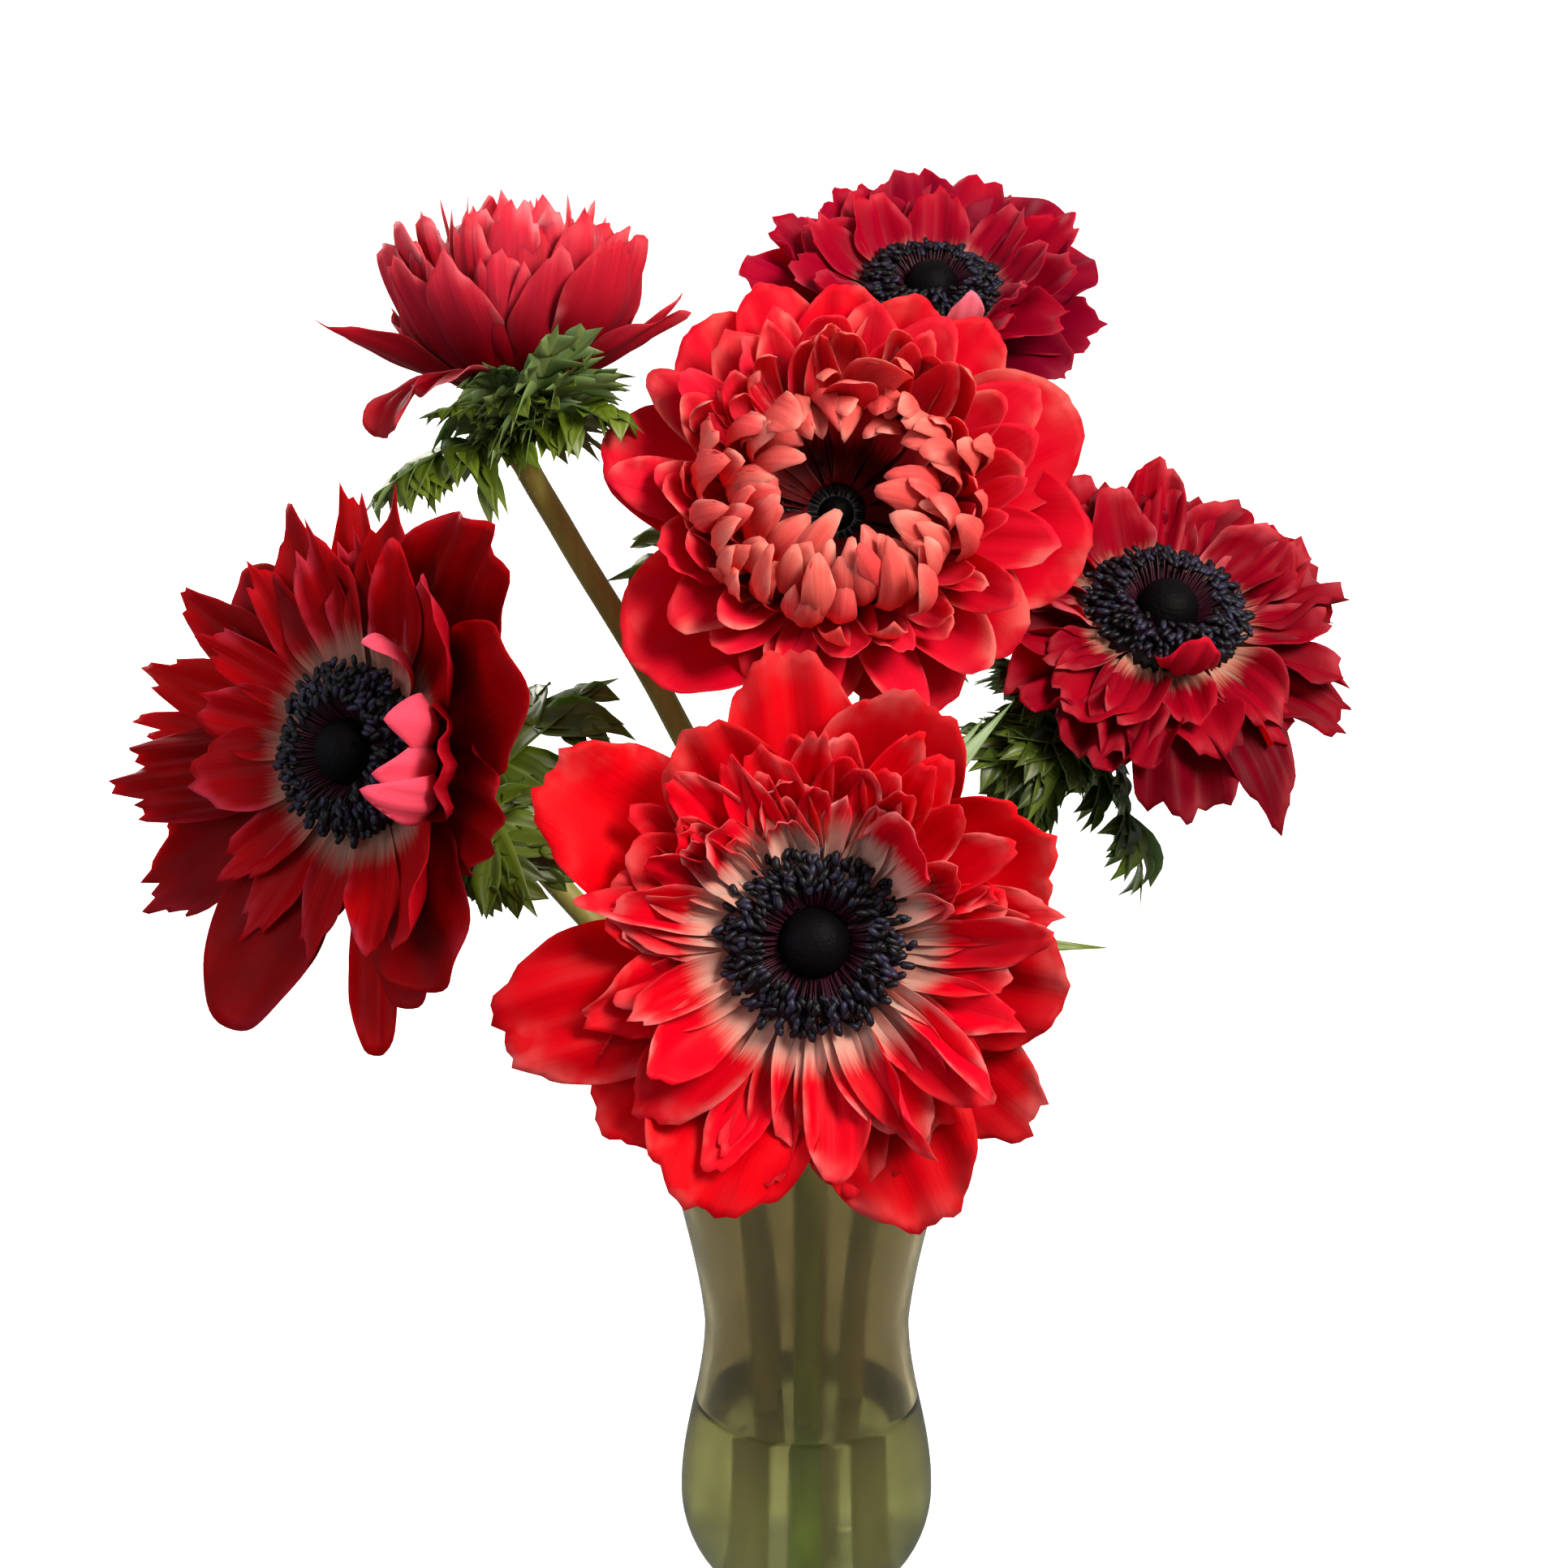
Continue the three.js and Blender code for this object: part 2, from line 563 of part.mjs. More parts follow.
const anemones = new THREE.Group();
anemones.add(meshOf("vase", vaseSolid(), glass));
const stemHoles = BLOOMS.map((bloom) => stemTube(bloom, STEM_RADIUS + GAP));
anemones.add(meshOf("water", waterSolid(stemHoles), water));
BLOOMS.forEach((bloom, number) => {
  const head = new THREE.Group();
  head.applyMatrix4(bloomFrame(bloom));
  head.add(meshOf(`petals_${bloom.name}`, petalsSolid(bloom, number), finish(bloom.colour, 0.5)));
  head.add(meshOf(`heart_${bloom.name}`, heartSolid(bloom, number), heartBlack));
  anemones.add(meshOf(`stem_${bloom.name}`, stemSolid(bloom, number), stemGreen), head);
});

export default anemones;
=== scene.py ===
# %% [markdown]
# # Six double anemones in a small glass vase
#
# This lesson dresses a bouquet whose plain solids are already packed as a fixed frame: a waisted glass
# vase, its water, six stems with cut leaf collars, and six heads with a dark heart each. The frame says
# where everything is and how far it reaches. Every piece made here is a finer version of one of those
# solids, in the same place, with the petals, veins, stamens and glass that the eye expects.
#
# Lengths are worked out in millimetres, because that is how a flower is measured, and turned to metres
# once, where a mesh is made.

# %% Load the frame
import math

import bpy
import numpy as np
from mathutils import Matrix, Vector


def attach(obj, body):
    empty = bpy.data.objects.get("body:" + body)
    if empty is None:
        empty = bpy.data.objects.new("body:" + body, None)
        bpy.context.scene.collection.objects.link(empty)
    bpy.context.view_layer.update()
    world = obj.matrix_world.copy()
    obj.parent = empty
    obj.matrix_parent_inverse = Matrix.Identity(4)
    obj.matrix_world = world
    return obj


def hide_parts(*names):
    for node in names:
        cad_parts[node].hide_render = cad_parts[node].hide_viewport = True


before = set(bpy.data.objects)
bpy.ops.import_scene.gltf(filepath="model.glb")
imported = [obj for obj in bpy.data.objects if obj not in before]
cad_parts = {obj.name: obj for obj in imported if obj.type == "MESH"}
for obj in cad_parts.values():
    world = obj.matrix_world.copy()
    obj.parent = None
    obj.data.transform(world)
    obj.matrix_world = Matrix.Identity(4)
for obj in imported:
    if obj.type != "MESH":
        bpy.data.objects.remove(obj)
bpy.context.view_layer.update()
MM = 0.001
BODY = "root"
print("nodes:", sorted(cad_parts))

# %% [markdown]
# ## Small helpers for finishes
#
# A material's nodes are added by one function, which sets a node's properties and then fills its inputs.
# An input takes a value, another node's socket, or a whole node, which stands for its first output.
# Colours are written as sRGB hex, as a paint chart gives them, and one function turns them into the
# linear values that the shader works with.

# %% Nodes and colours
def fill(node, inputs):
    """Fills inputs, by name or number, with values, with sockets, or with other nodes' first outputs."""
    for key, value in inputs.items():
        if isinstance(value, bpy.types.Node):
            value = value.outputs[0]
        if isinstance(value, bpy.types.NodeSocket):
            node.id_data.links.new(value, node.inputs[key])
        else:
            node.inputs[key].default_value = value
    return node


def add_node(tree, kind, inputs=None, **settings):
    """Adds one node of a kind to a tree, sets its properties and fills its inputs."""
    node = tree.nodes.new(kind)
    for name, value in settings.items():
        setattr(node, name, value)
    return fill(node, inputs or {})


def srgb(code):
    """A hex colour as linear RGBA: a channel c is c / 12.92 when dark, else ((c + 0.055) / 1.055) ^ 2.4."""
    channels = np.array([int(code[i:i + 2], 16) for i in (1, 3, 5)]) / 255
    linear = np.where(channels <= 0.04045, channels / 12.92, ((channels + 0.055) / 1.055) ** 2.4)
    return (*linear.tolist(), 1.0)


def new_material(name, finish=None):
    """A material whose one shader is wired to its output; finish holds the shader's even values."""
    material = bpy.data.materials.new(name)
    material.use_nodes = True
    tree = material.node_tree
    tree.nodes.clear()
    shader = add_node(tree, "ShaderNodeBsdfPrincipled", finish)
    add_node(tree, "ShaderNodeOutputMaterial", {"Surface": shader})
    return material, tree, shader


print("middle grey in linear light:", round(srgb("#808080")[0], 3))

# %% [markdown]
# ## Surfaces as grids
#
# A petal, a leaf lobe, a stem or a glass wall is a grid of points worked out by a formula in two
# parameters. Blender only needs to know which four points make each face. Three patterns cover
# everything here. A loft is a stack of closed rings. A blade is a thin shell: each of its rows runs
# across the upper face and back along the lower one, so it is a loft too, with its two ends closed by a
# strip of small faces. A turned shape is a loft about an axis, closed by a fan at each end.

# %% Faces of lofts and blades
def loft_faces(rows, around, copies=1):
    """Quads of closed rings of points stacked in rows, for a number of copies that follow one another."""
    row, k = np.meshgrid(np.arange(rows - 1), np.arange(around), indexing="ij")
    first = row * around + k
    second = row * around + (k + 1) % around
    quads = np.stack([first, second, second + around, first + around], axis=-1).reshape(-1, 4)
    return (quads[None] + (np.arange(copies) * rows * around)[:, None, None]).reshape(-1, 4)


def with_ends(sides, ends, points_each, copies):
    """The quads of the sides of some shells, followed by the quads of their ends."""
    shift = (np.arange(copies) * points_each)[:, None, None]
    return np.concatenate([sides, (ends[None] + shift).reshape(-1, 4)])


def blade_faces(rows, across, copies=1):
    """Quads of thin shells whose rings go across the upper face and back along the lower one."""
    around = 2 * across
    k = np.arange(across - 1)
    start = np.stack([k, k + 1, around - 2 - k, around - 1 - k], axis=-1)
    ends = np.concatenate([start, start[:, ::-1] + (rows - 1) * around])
    return with_ends(loft_faces(rows, around, copies)[:, ::-1], ends, rows * around, copies)


def tube_faces(rows, sides, copies=1):
    """Quads of tubes, closed by a row of quads across each end."""
    k = np.arange(sides // 2 - 1)
    start = np.stack([k, sides - 1 - k, sides - 2 - k, k + 1], axis=-1)
    ends = np.concatenate([start, start[:, ::-1] + (rows - 1) * sides])
    return with_ends(loft_faces(rows, sides, copies), ends, rows * sides, copies)


print("a tube of 5 rings and 4 sides has", len(tube_faces(5, 4)), "faces")

# %% Turned shapes
def turned(radius, height, sides, low, high):
    """Rings about Z, x = r cos a and y = r sin a, closed by fans to the axis at the heights low and high."""
    angle = np.arange(sides) * 2 * math.pi / sides
    rings = np.stack([radius * np.cos(angle), radius * np.sin(angle), height + 0 * angle], axis=-1)
    count = len(rings) * sides
    k = np.arange(sides)
    after = (k + 1) % sides
    faces = loft_faces(len(rings), sides).tolist()
    faces += np.stack([0 * k + count, after, k], axis=-1).tolist()
    faces += np.stack([0 * k + count + 1, count - sides + k, count - sides + after], axis=-1).tolist()
    return np.concatenate([rings.reshape(-1, 3), [[0, 0, low], [0, 0, high]]]), faces


def lathe(profile, sides):
    """A profile of radii and heights turned about Z. Its two ends lie on the axis."""
    radius, height = np.array(profile, float)[1:-1].T[:, :, None]
    return turned(radius, height, sides, profile[0][1], profile[-1][1])


print("a cone turned with 8 sides has", len(lathe([(0, 0), (1, 0), (0, 1)], 8)[1]), "faces")

# %% Make a piece
def joined(shells):
    """Several (points, faces, masks) as one: the faces of each count on from the points before it."""
    starts = np.cumsum([0] + [len(points) for points, _, _ in shells])
    return (np.concatenate([points for points, _, _ in shells]),
            np.concatenate([faces + start for (_, faces, _), start in zip(shells, starts)]),
            {key: np.concatenate([masks[key] for _, _, masks in shells]) for key in shells[0][2]})


def make_piece(name, points, faces, material, slot, stands_for, masks=None):
    """A smooth mesh from points in millimetres, riding on the body, with vector masks on its points."""
    mesh = bpy.data.meshes.new(name)
    mesh.from_pydata((points * MM).tolist(), [], faces if isinstance(faces, list) else faces.tolist())
    mesh.polygons.foreach_set("use_smooth", np.ones(len(mesh.polygons), bool))
    for label, values in (masks or {}).items():
        layer = mesh.attributes.new(label, "FLOAT_VECTOR", "POINT")
        layer.data.foreach_set("vector", np.ascontiguousarray(values, np.float32).ravel())
    mesh.materials.append(material)
    mesh.update()
    piece = bpy.data.objects.new(name, mesh)
    bpy.context.scene.collection.objects.link(piece)
    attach(piece, BODY)
    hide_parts(stands_for)


# %% [markdown]
# ## Repeatable chance
#
# No two petals are alike, but the lesson has to give the same bouquet each time. The draw below mixes
# a number into a value between -1 and 1 and always gives the same value for the same number.

# %% A repeatable draw
def draw(number):
    """2 frac(43758.5453 sin(12.9898 n + 4.1414)) - 1 for a number or an array."""
    wave = np.sin(np.asarray(number, float) * 12.9898 + 4.1414) * 43758.5453
    return 2 * (wave - np.floor(wave)) - 1


print("three draws:", draw([1, 2, 3]).round(2))

# %% [markdown]
# ## The camera, the paper and the light
#
# The bouquet is seen from the front and 20 degrees above, from 75 cm away, through a short telephoto
# lens that shows 2.76 m of width for each 7.5 m of distance. It stands on pale paper under one broad
# light from the upper right, with a weaker one at the left, one behind that shines through the petals,
# and a white surround that fills the shade.

# %% Camera
VIEW_ELEVATION = math.radians(20)
VIEW_DISTANCE = 750
VIEW_CENTRE = np.array([-4.2, 0, 158.5])
PHOTO_SIZE = 1932
FOCAL_PIXELS = 5250
SENSOR = 36

view_from = VIEW_CENTRE + VIEW_DISTANCE * np.array([0, -math.cos(VIEW_ELEVATION), math.sin(VIEW_ELEVATION)])
camera_data = bpy.data.cameras.new("camera")
camera_data.sensor_width = SENSOR
camera_data.lens = FOCAL_PIXELS / PHOTO_SIZE * SENSOR
camera = bpy.data.objects.new("camera", camera_data)
camera.location = Vector(view_from * MM)
camera.rotation_euler = Vector((VIEW_CENTRE - view_from) * MM).to_track_quat("-Z", "Y").to_euler()
bpy.context.scene.collection.objects.link(camera)
bpy.context.scene.camera = camera
bpy.context.scene.view_settings.view_transform = "Standard"
print(f"lens {camera_data.lens:.1f} mm")

# %% Lights
def add_light(name, place, aim, size, power, code):
    """A square area light at a place, in millimetres, turned towards a point."""
    data = bpy.data.lights.new(name, "AREA")
    data.size = size * MM
    data.energy = power
    data.color = srgb(code)[:3]
    light = bpy.data.objects.new(name, data)
    light.location = Vector(place) * MM
    light.rotation_euler = (Vector(aim) - Vector(place)).to_track_quat("-Z", "Y").to_euler()
    bpy.context.scene.collection.objects.link(light)


add_light("key_light", (430, -430, 700), (0, -10, 170), 300, 9.4, "#fff4e8")
add_light("side_light", (-760, -420, 420), (0, 0, 150), 420, 2.2, "#f1f5ff")
add_light("back_light", (-420, 760, 460), (0, 0, 150), 420, 7.0, "#fffaf2")
print("key, side and back light")

# %% Surround
# The camera, also through glass, sees plain white. Mirror reflections see half of it, and all other
# light a shade that grows from below to above.
LIGHT_BELOW = 0.2
LIGHT_ABOVE = 0.46
LIGHT_IN_GLASS = 0.5

world = bpy.data.worlds.new("white_surround")
world.use_nodes = True
surround = world.node_tree
surround.nodes.clear()
rays = add_node(surround, "ShaderNodeLightPath").outputs
way = add_node(surround, "ShaderNodeTexCoord").outputs["Generated"]
height = add_node(surround, "ShaderNodeSeparateXYZ", {0: way}).outputs["Z"]
level = add_node(surround, "ShaderNodeMapRange", {"Value": height, "From Min": -0.4, "From Max": 0.9,
                                                  "To Min": LIGHT_BELOW, "To Max": LIGHT_ABOVE})
mirror = add_node(surround, "ShaderNodeMath", {0: rays["Is Singular Ray"], 1: LIGHT_IN_GLASS},
                  operation="MULTIPLY")
for light in (mirror, rays["Is Camera Ray"], rays["Is Transmission Ray"]):
    level = add_node(surround, "ShaderNodeMath", {0: level, 1: light}, operation="MAXIMUM")
sky = add_node(surround, "ShaderNodeBackground", {"Color": srgb("#ffffff"), "Strength": level})
add_node(surround, "ShaderNodeOutputWorld", {"Surface": sky})
bpy.context.scene.world = world
print(len(surround.nodes), "nodes in the surround")

# %% Floor
# Studio paper is matt. Its own faint glow keeps it near white in the shade of the bouquet.
FLOOR_SIZE = 6000
paper = new_material("matt studio paper", {"Base Color": srgb("#f6f6f6"), "Roughness": 0.9,
                                           "Emission Color": srgb("#ffffff"), "Emission Strength": 0.74})[0]
half_floor = FLOOR_SIZE / 2 * MM
floor_mesh = bpy.data.meshes.new("floor")
floor_mesh.from_pydata([(-half_floor, -half_floor, 0), (half_floor, -half_floor, 0),
                        (half_floor, half_floor, 0), (-half_floor, half_floor, 0)], [], [(0, 1, 2, 3)])
floor_mesh.materials.append(paper)
floor = bpy.data.objects.new("floor", floor_mesh)
bpy.context.scene.collection.objects.link(floor)
floor.visible_diffuse = False
floor.visible_glossy = False
print("floor", FLOOR_SIZE, "mm wide")

# %% [markdown]
# ## The vase and its water
#
# The vase is blown glass: a round bowl, a waist and a mouth that flares. Its outside is one curve in
# height, a ball's curve up to its widest, half a cosine to the waist, and a flare to the lip, and the
# inside keeps 1.6 mm away from it. A lathe turns the closed profile. The glass is a smoky olive: what
# gives that to the eye is a body colour that the light passes four times on its way through the vase.

# %% Vase dimensions
FOOT_RADIUS = 14.5
HEEL_HEIGHT = 1.2
BOWL_RADIUS = 23.4
BOWL_HEIGHT = 19
WAIST_RADIUS = 18.8
WAIST_HEIGHT = 54
MOUTH_RADIUS = 26.5
VASE_HEIGHT = 98
GLASS_WALL = 1.6
GLASS_FLOOR = 5
FLOOR_FILLET = 3
WATER_LEVEL = 38
VASE_SIDES = 112


def vase_radius(height):
    """Outer radius at a height: sqrt(R^2 - (h0 - h)^2) in the bowl, a cosine to the waist, then the flare."""
    height = np.asarray(height, float)
    bowl = np.sqrt(np.maximum(BOWL_RADIUS ** 2 - (BOWL_HEIGHT - height) ** 2, 0))
    down = np.clip((height - BOWL_HEIGHT) / (WAIST_HEIGHT - BOWL_HEIGHT), 0, 1)
    waist = WAIST_RADIUS + (BOWL_RADIUS - WAIST_RADIUS) * (0.5 + 0.5 * np.cos(math.pi * down))
    up = np.clip((height - WAIST_HEIGHT) / (VASE_HEIGHT - WAIST_HEIGHT), 0, 1)
    flare = WAIST_RADIUS + (MOUTH_RADIUS - WAIST_RADIUS) * (0.25 * (1 - np.cos(math.pi * up)) + 0.5 * up)
    return np.where(height < BOWL_HEIGHT, bowl, np.where(height < WAIST_HEIGHT, waist, flare))


print("radius at the foot, bowl, waist and mouth:", vase_radius([1.2, 19, 54, 98]).round(1), "mm")

# %% Glass and water finishes
# Blown glass has a smooth fire-polished skin. Tap water has left a faint haze of lime on it, in patches
# drawn out upwards, so it is clear in most places and a little blurred in others. It is greener in the
# thick base, smokier above, and darkest where it is seen edge on.
glass, tree, shader = new_material("smoky olive blown glass", {"IOR": 1.47, "Transmission Weight": 1.0})
where = add_node(tree, "ShaderNodeTexCoord").outputs["Object"]
height = add_node(tree, "ShaderNodeSeparateXYZ", {0: where}).outputs["Z"]
smoky = add_node(tree, "ShaderNodeMapRange", {"Value": height, "From Min": 12 * MM, "From Max": 45 * MM},
                 interpolation_type="SMOOTHSTEP")
wall = add_node(tree, "ShaderNodeLayerWeight", {"Blend": 0.35}).outputs["Facing"]
edge_on = add_node(tree, "ShaderNodeMapRange", {"Value": wall, "From Min": 0.45, "To Max": 0.8})
drawn_out = add_node(tree, "ShaderNodeMapping", {"Vector": where, "Scale": (150, 150, 60)})
lime = add_node(tree, "ShaderNodeTexNoise", {"Vector": drawn_out, "Scale": 1.0, "Detail": 3.0})
stain = add_node(tree, "ShaderNodeMapRange", {"Value": lime, "From Min": 0.4, "From Max": 0.68,
                                              "To Max": 0.5})
haze = add_node(tree, "ShaderNodeMapRange", {"Value": lime, "From Min": 0.35, "From Max": 0.65,
                                             "To Min": 0.05, "To Max": 0.2})
tint = srgb("#b0b28e")
for share, code in ((smoky, "#8e8666"), (edge_on, "#5c5236"), (stain, "#7a7250")):
    tint = add_node(tree, "ShaderNodeMix", {"Factor": share, "A": tint, "B": srgb(code)},
                    data_type="RGBA").outputs["Result"]
fill(shader, {"Base Color": tint, "Roughness": haze})

# Still water is smooth and all but colourless; a few days of stems turn it faintly green.
water = new_material("still flower water", {"Base Color": srgb("#ecf2dc"), "Roughness": 0.0, "IOR": 1.33,
                                            "Transmission Weight": 1.0})[0]
print(glass.name, "and", water.name)

# %% Turn the glass and the water
# The water sinks a little into the glass, as it wets it, and climbs by half a millimetre at its edge.
LIP_STEPS = 9
WALL_STEPS = 50
SEAT = 0.12
MENISCUS = 0.5
MENISCUS_INSIDE = 0.93
lip_height = VASE_HEIGHT - GLASS_WALL / 2
wall_heights = np.linspace(HEEL_HEIGHT, lip_height, WALL_STEPS)
outer_wall = np.stack([vase_radius(wall_heights), wall_heights], axis=-1)
inner_heights = np.linspace(lip_height, GLASS_FLOOR + FLOOR_FILLET, WALL_STEPS)
inner_wall = np.stack([vase_radius(inner_heights) - GLASS_WALL, inner_heights], axis=-1)
lip_angle = np.linspace(0, math.pi, LIP_STEPS)[1:-1]
lip = np.stack([MOUTH_RADIUS - GLASS_WALL / 2 * (1 - np.cos(lip_angle)),
                lip_height + GLASS_WALL / 2 * np.sin(lip_angle)], axis=-1)
floor_radius = float(vase_radius(GLASS_FLOOR)) - GLASS_WALL - FLOOR_FILLET
corner_angle = np.linspace(0, math.pi / 2, LIP_STEPS)[1:-1]
corner_radius = float(vase_radius(GLASS_FLOOR + FLOOR_FILLET)) - GLASS_WALL
corner = np.stack([corner_radius - (corner_radius - floor_radius) * (1 - np.cos(corner_angle)),
                   GLASS_FLOOR + FLOOR_FILLET * (1 - np.sin(corner_angle))], axis=-1)
vase_profile = [(0, 0), (FOOT_RADIUS * 0.5, 0), (FOOT_RADIUS, 0), *outer_wall.tolist(), *lip.tolist(),
                *inner_wall.tolist(), *corner.tolist(), (floor_radius, GLASS_FLOOR), (0, GLASS_FLOOR)]
make_piece("vase_glass", *lathe(vase_profile, VASE_SIDES), glass, "glass", "vase")

wet_heights = np.linspace(GLASS_FLOOR + FLOOR_FILLET, WATER_LEVEL, WALL_STEPS // 2)
wet_wall = np.stack([vase_radius(wet_heights) - GLASS_WALL + SEAT, wet_heights], axis=-1)
water_profile = [(0, GLASS_FLOOR - SEAT), (floor_radius, GLASS_FLOOR - SEAT), *corner[::-1].tolist(),
                 *wet_wall.tolist(), (wet_wall[-1][0] * MENISCUS_INSIDE, WATER_LEVEL - MENISCUS),
                 (0, WATER_LEVEL - MENISCUS)]
make_piece("vase_water", *lathe(water_profile, VASE_SIDES), water, "water", "water")
print("vase", len(vase_profile), "profile points")

# %% [markdown]
# ## Where each bloom is and how it is dressed
#
# The frame's solids were placed by a table: where each disc is, which way it faces, how its stem rises
# and what leaves and petals it has. The finer pieces follow the same table, with more petals in the
# inner rings than the plain solids could carry. Angles are in degrees.
#
# - at, faces: the disc's place, and its angles round from the front and above the horizon.
# - foot, way, neck, collar: where the stem's foot stands round the vase, the points it passes, the
#   length of its straight neck, and how far below the disc the leaves are.
# - leaves, more_leaves, blades: (angle round the stem, length, first slope, bend), the blades uncut.
#   leaf_painted_shade darkens a bloom's leaves as painted shade, where they hang in the blooms' shadow.
# - heart, spread, stamens, purple: the dome's size, how wide its stamens spread, the share of them that
#   is there, and how purple their feet are.
# - rise, frill, ruffle, crease, wild, uneven: the tepals' first slope, how toothed, ruffled and creased
#   the petals are, and how much they differ in place and in length. cream is how far the claw's colour
#   reaches, in millimetres: a creamy colour on most blooms, and near black on the coral, as painted shade
#   in the hollow round its heart.
# - tepals: the outer petals, (angle, length, half width, last slope). Those named in smooth have no teeth.
# - rings: whorls of inner petals, each an outline, a count, length, half width, first slope, last slope
#   and first angle. In their extras span is the arc that they fill, tilt and open change the last slope
#   from the lower petals to the upper ones, late makes the line bend nearer its end, loll rolls them
#   sideways, ruffled and claw are their own ruffle and root width, and columns thins their grid.
# - loose: petals out of step with their ring, each an outline, angle, length, half width, first slope,
#   last slope, roll, sweep, layer and late.
# - curled: small petals that curl over the heart, (angle, length, half width, first slope, last slope).

# %% Petal outlines
# peak is where a petal is widest, blunt and sharp shape its end, cup and fold bend it across.
ROUND = {"peak": 0.6, "blunt": 2.5, "sharp": 0.58, "cup": 0.2, "fold": 0.0}
POINTED = {"peak": 0.5, "blunt": 1.6, "sharp": 0.92, "cup": 0.28, "fold": 0.1}
STRAP = {"peak": 0.6, "blunt": 2.0, "sharp": 0.74, "cup": 0.3, "fold": 0.25}
FOLDED = {"peak": 0.62, "blunt": 2.4, "sharp": 0.6, "cup": 0.3, "fold": 0.3}
SPOON = {"peak": 0.9, "blunt": 2.2, "sharp": 0.56, "cup": 0.3, "fold": 0.0}
ROUND_ABOVE = 8
RING = ("count", "length", "half", "rise", "tip", "first")
LOOSE = ("angle", "length", "half", "rise", "tip", "roll", "sweep", "layer", "late")


def named(columns, row):
    """A row of the table by name: its outline's values, its numbers under their columns, its extras."""
    outline, *numbers = row
    extras = numbers.pop() if isinstance(numbers[-1], dict) else {}
    return {**outline, **dict(zip(columns, numbers)), **extras}


print("a ring by name:", named(RING, (ROUND, 9, 22, 6, 8, 66, 0)))

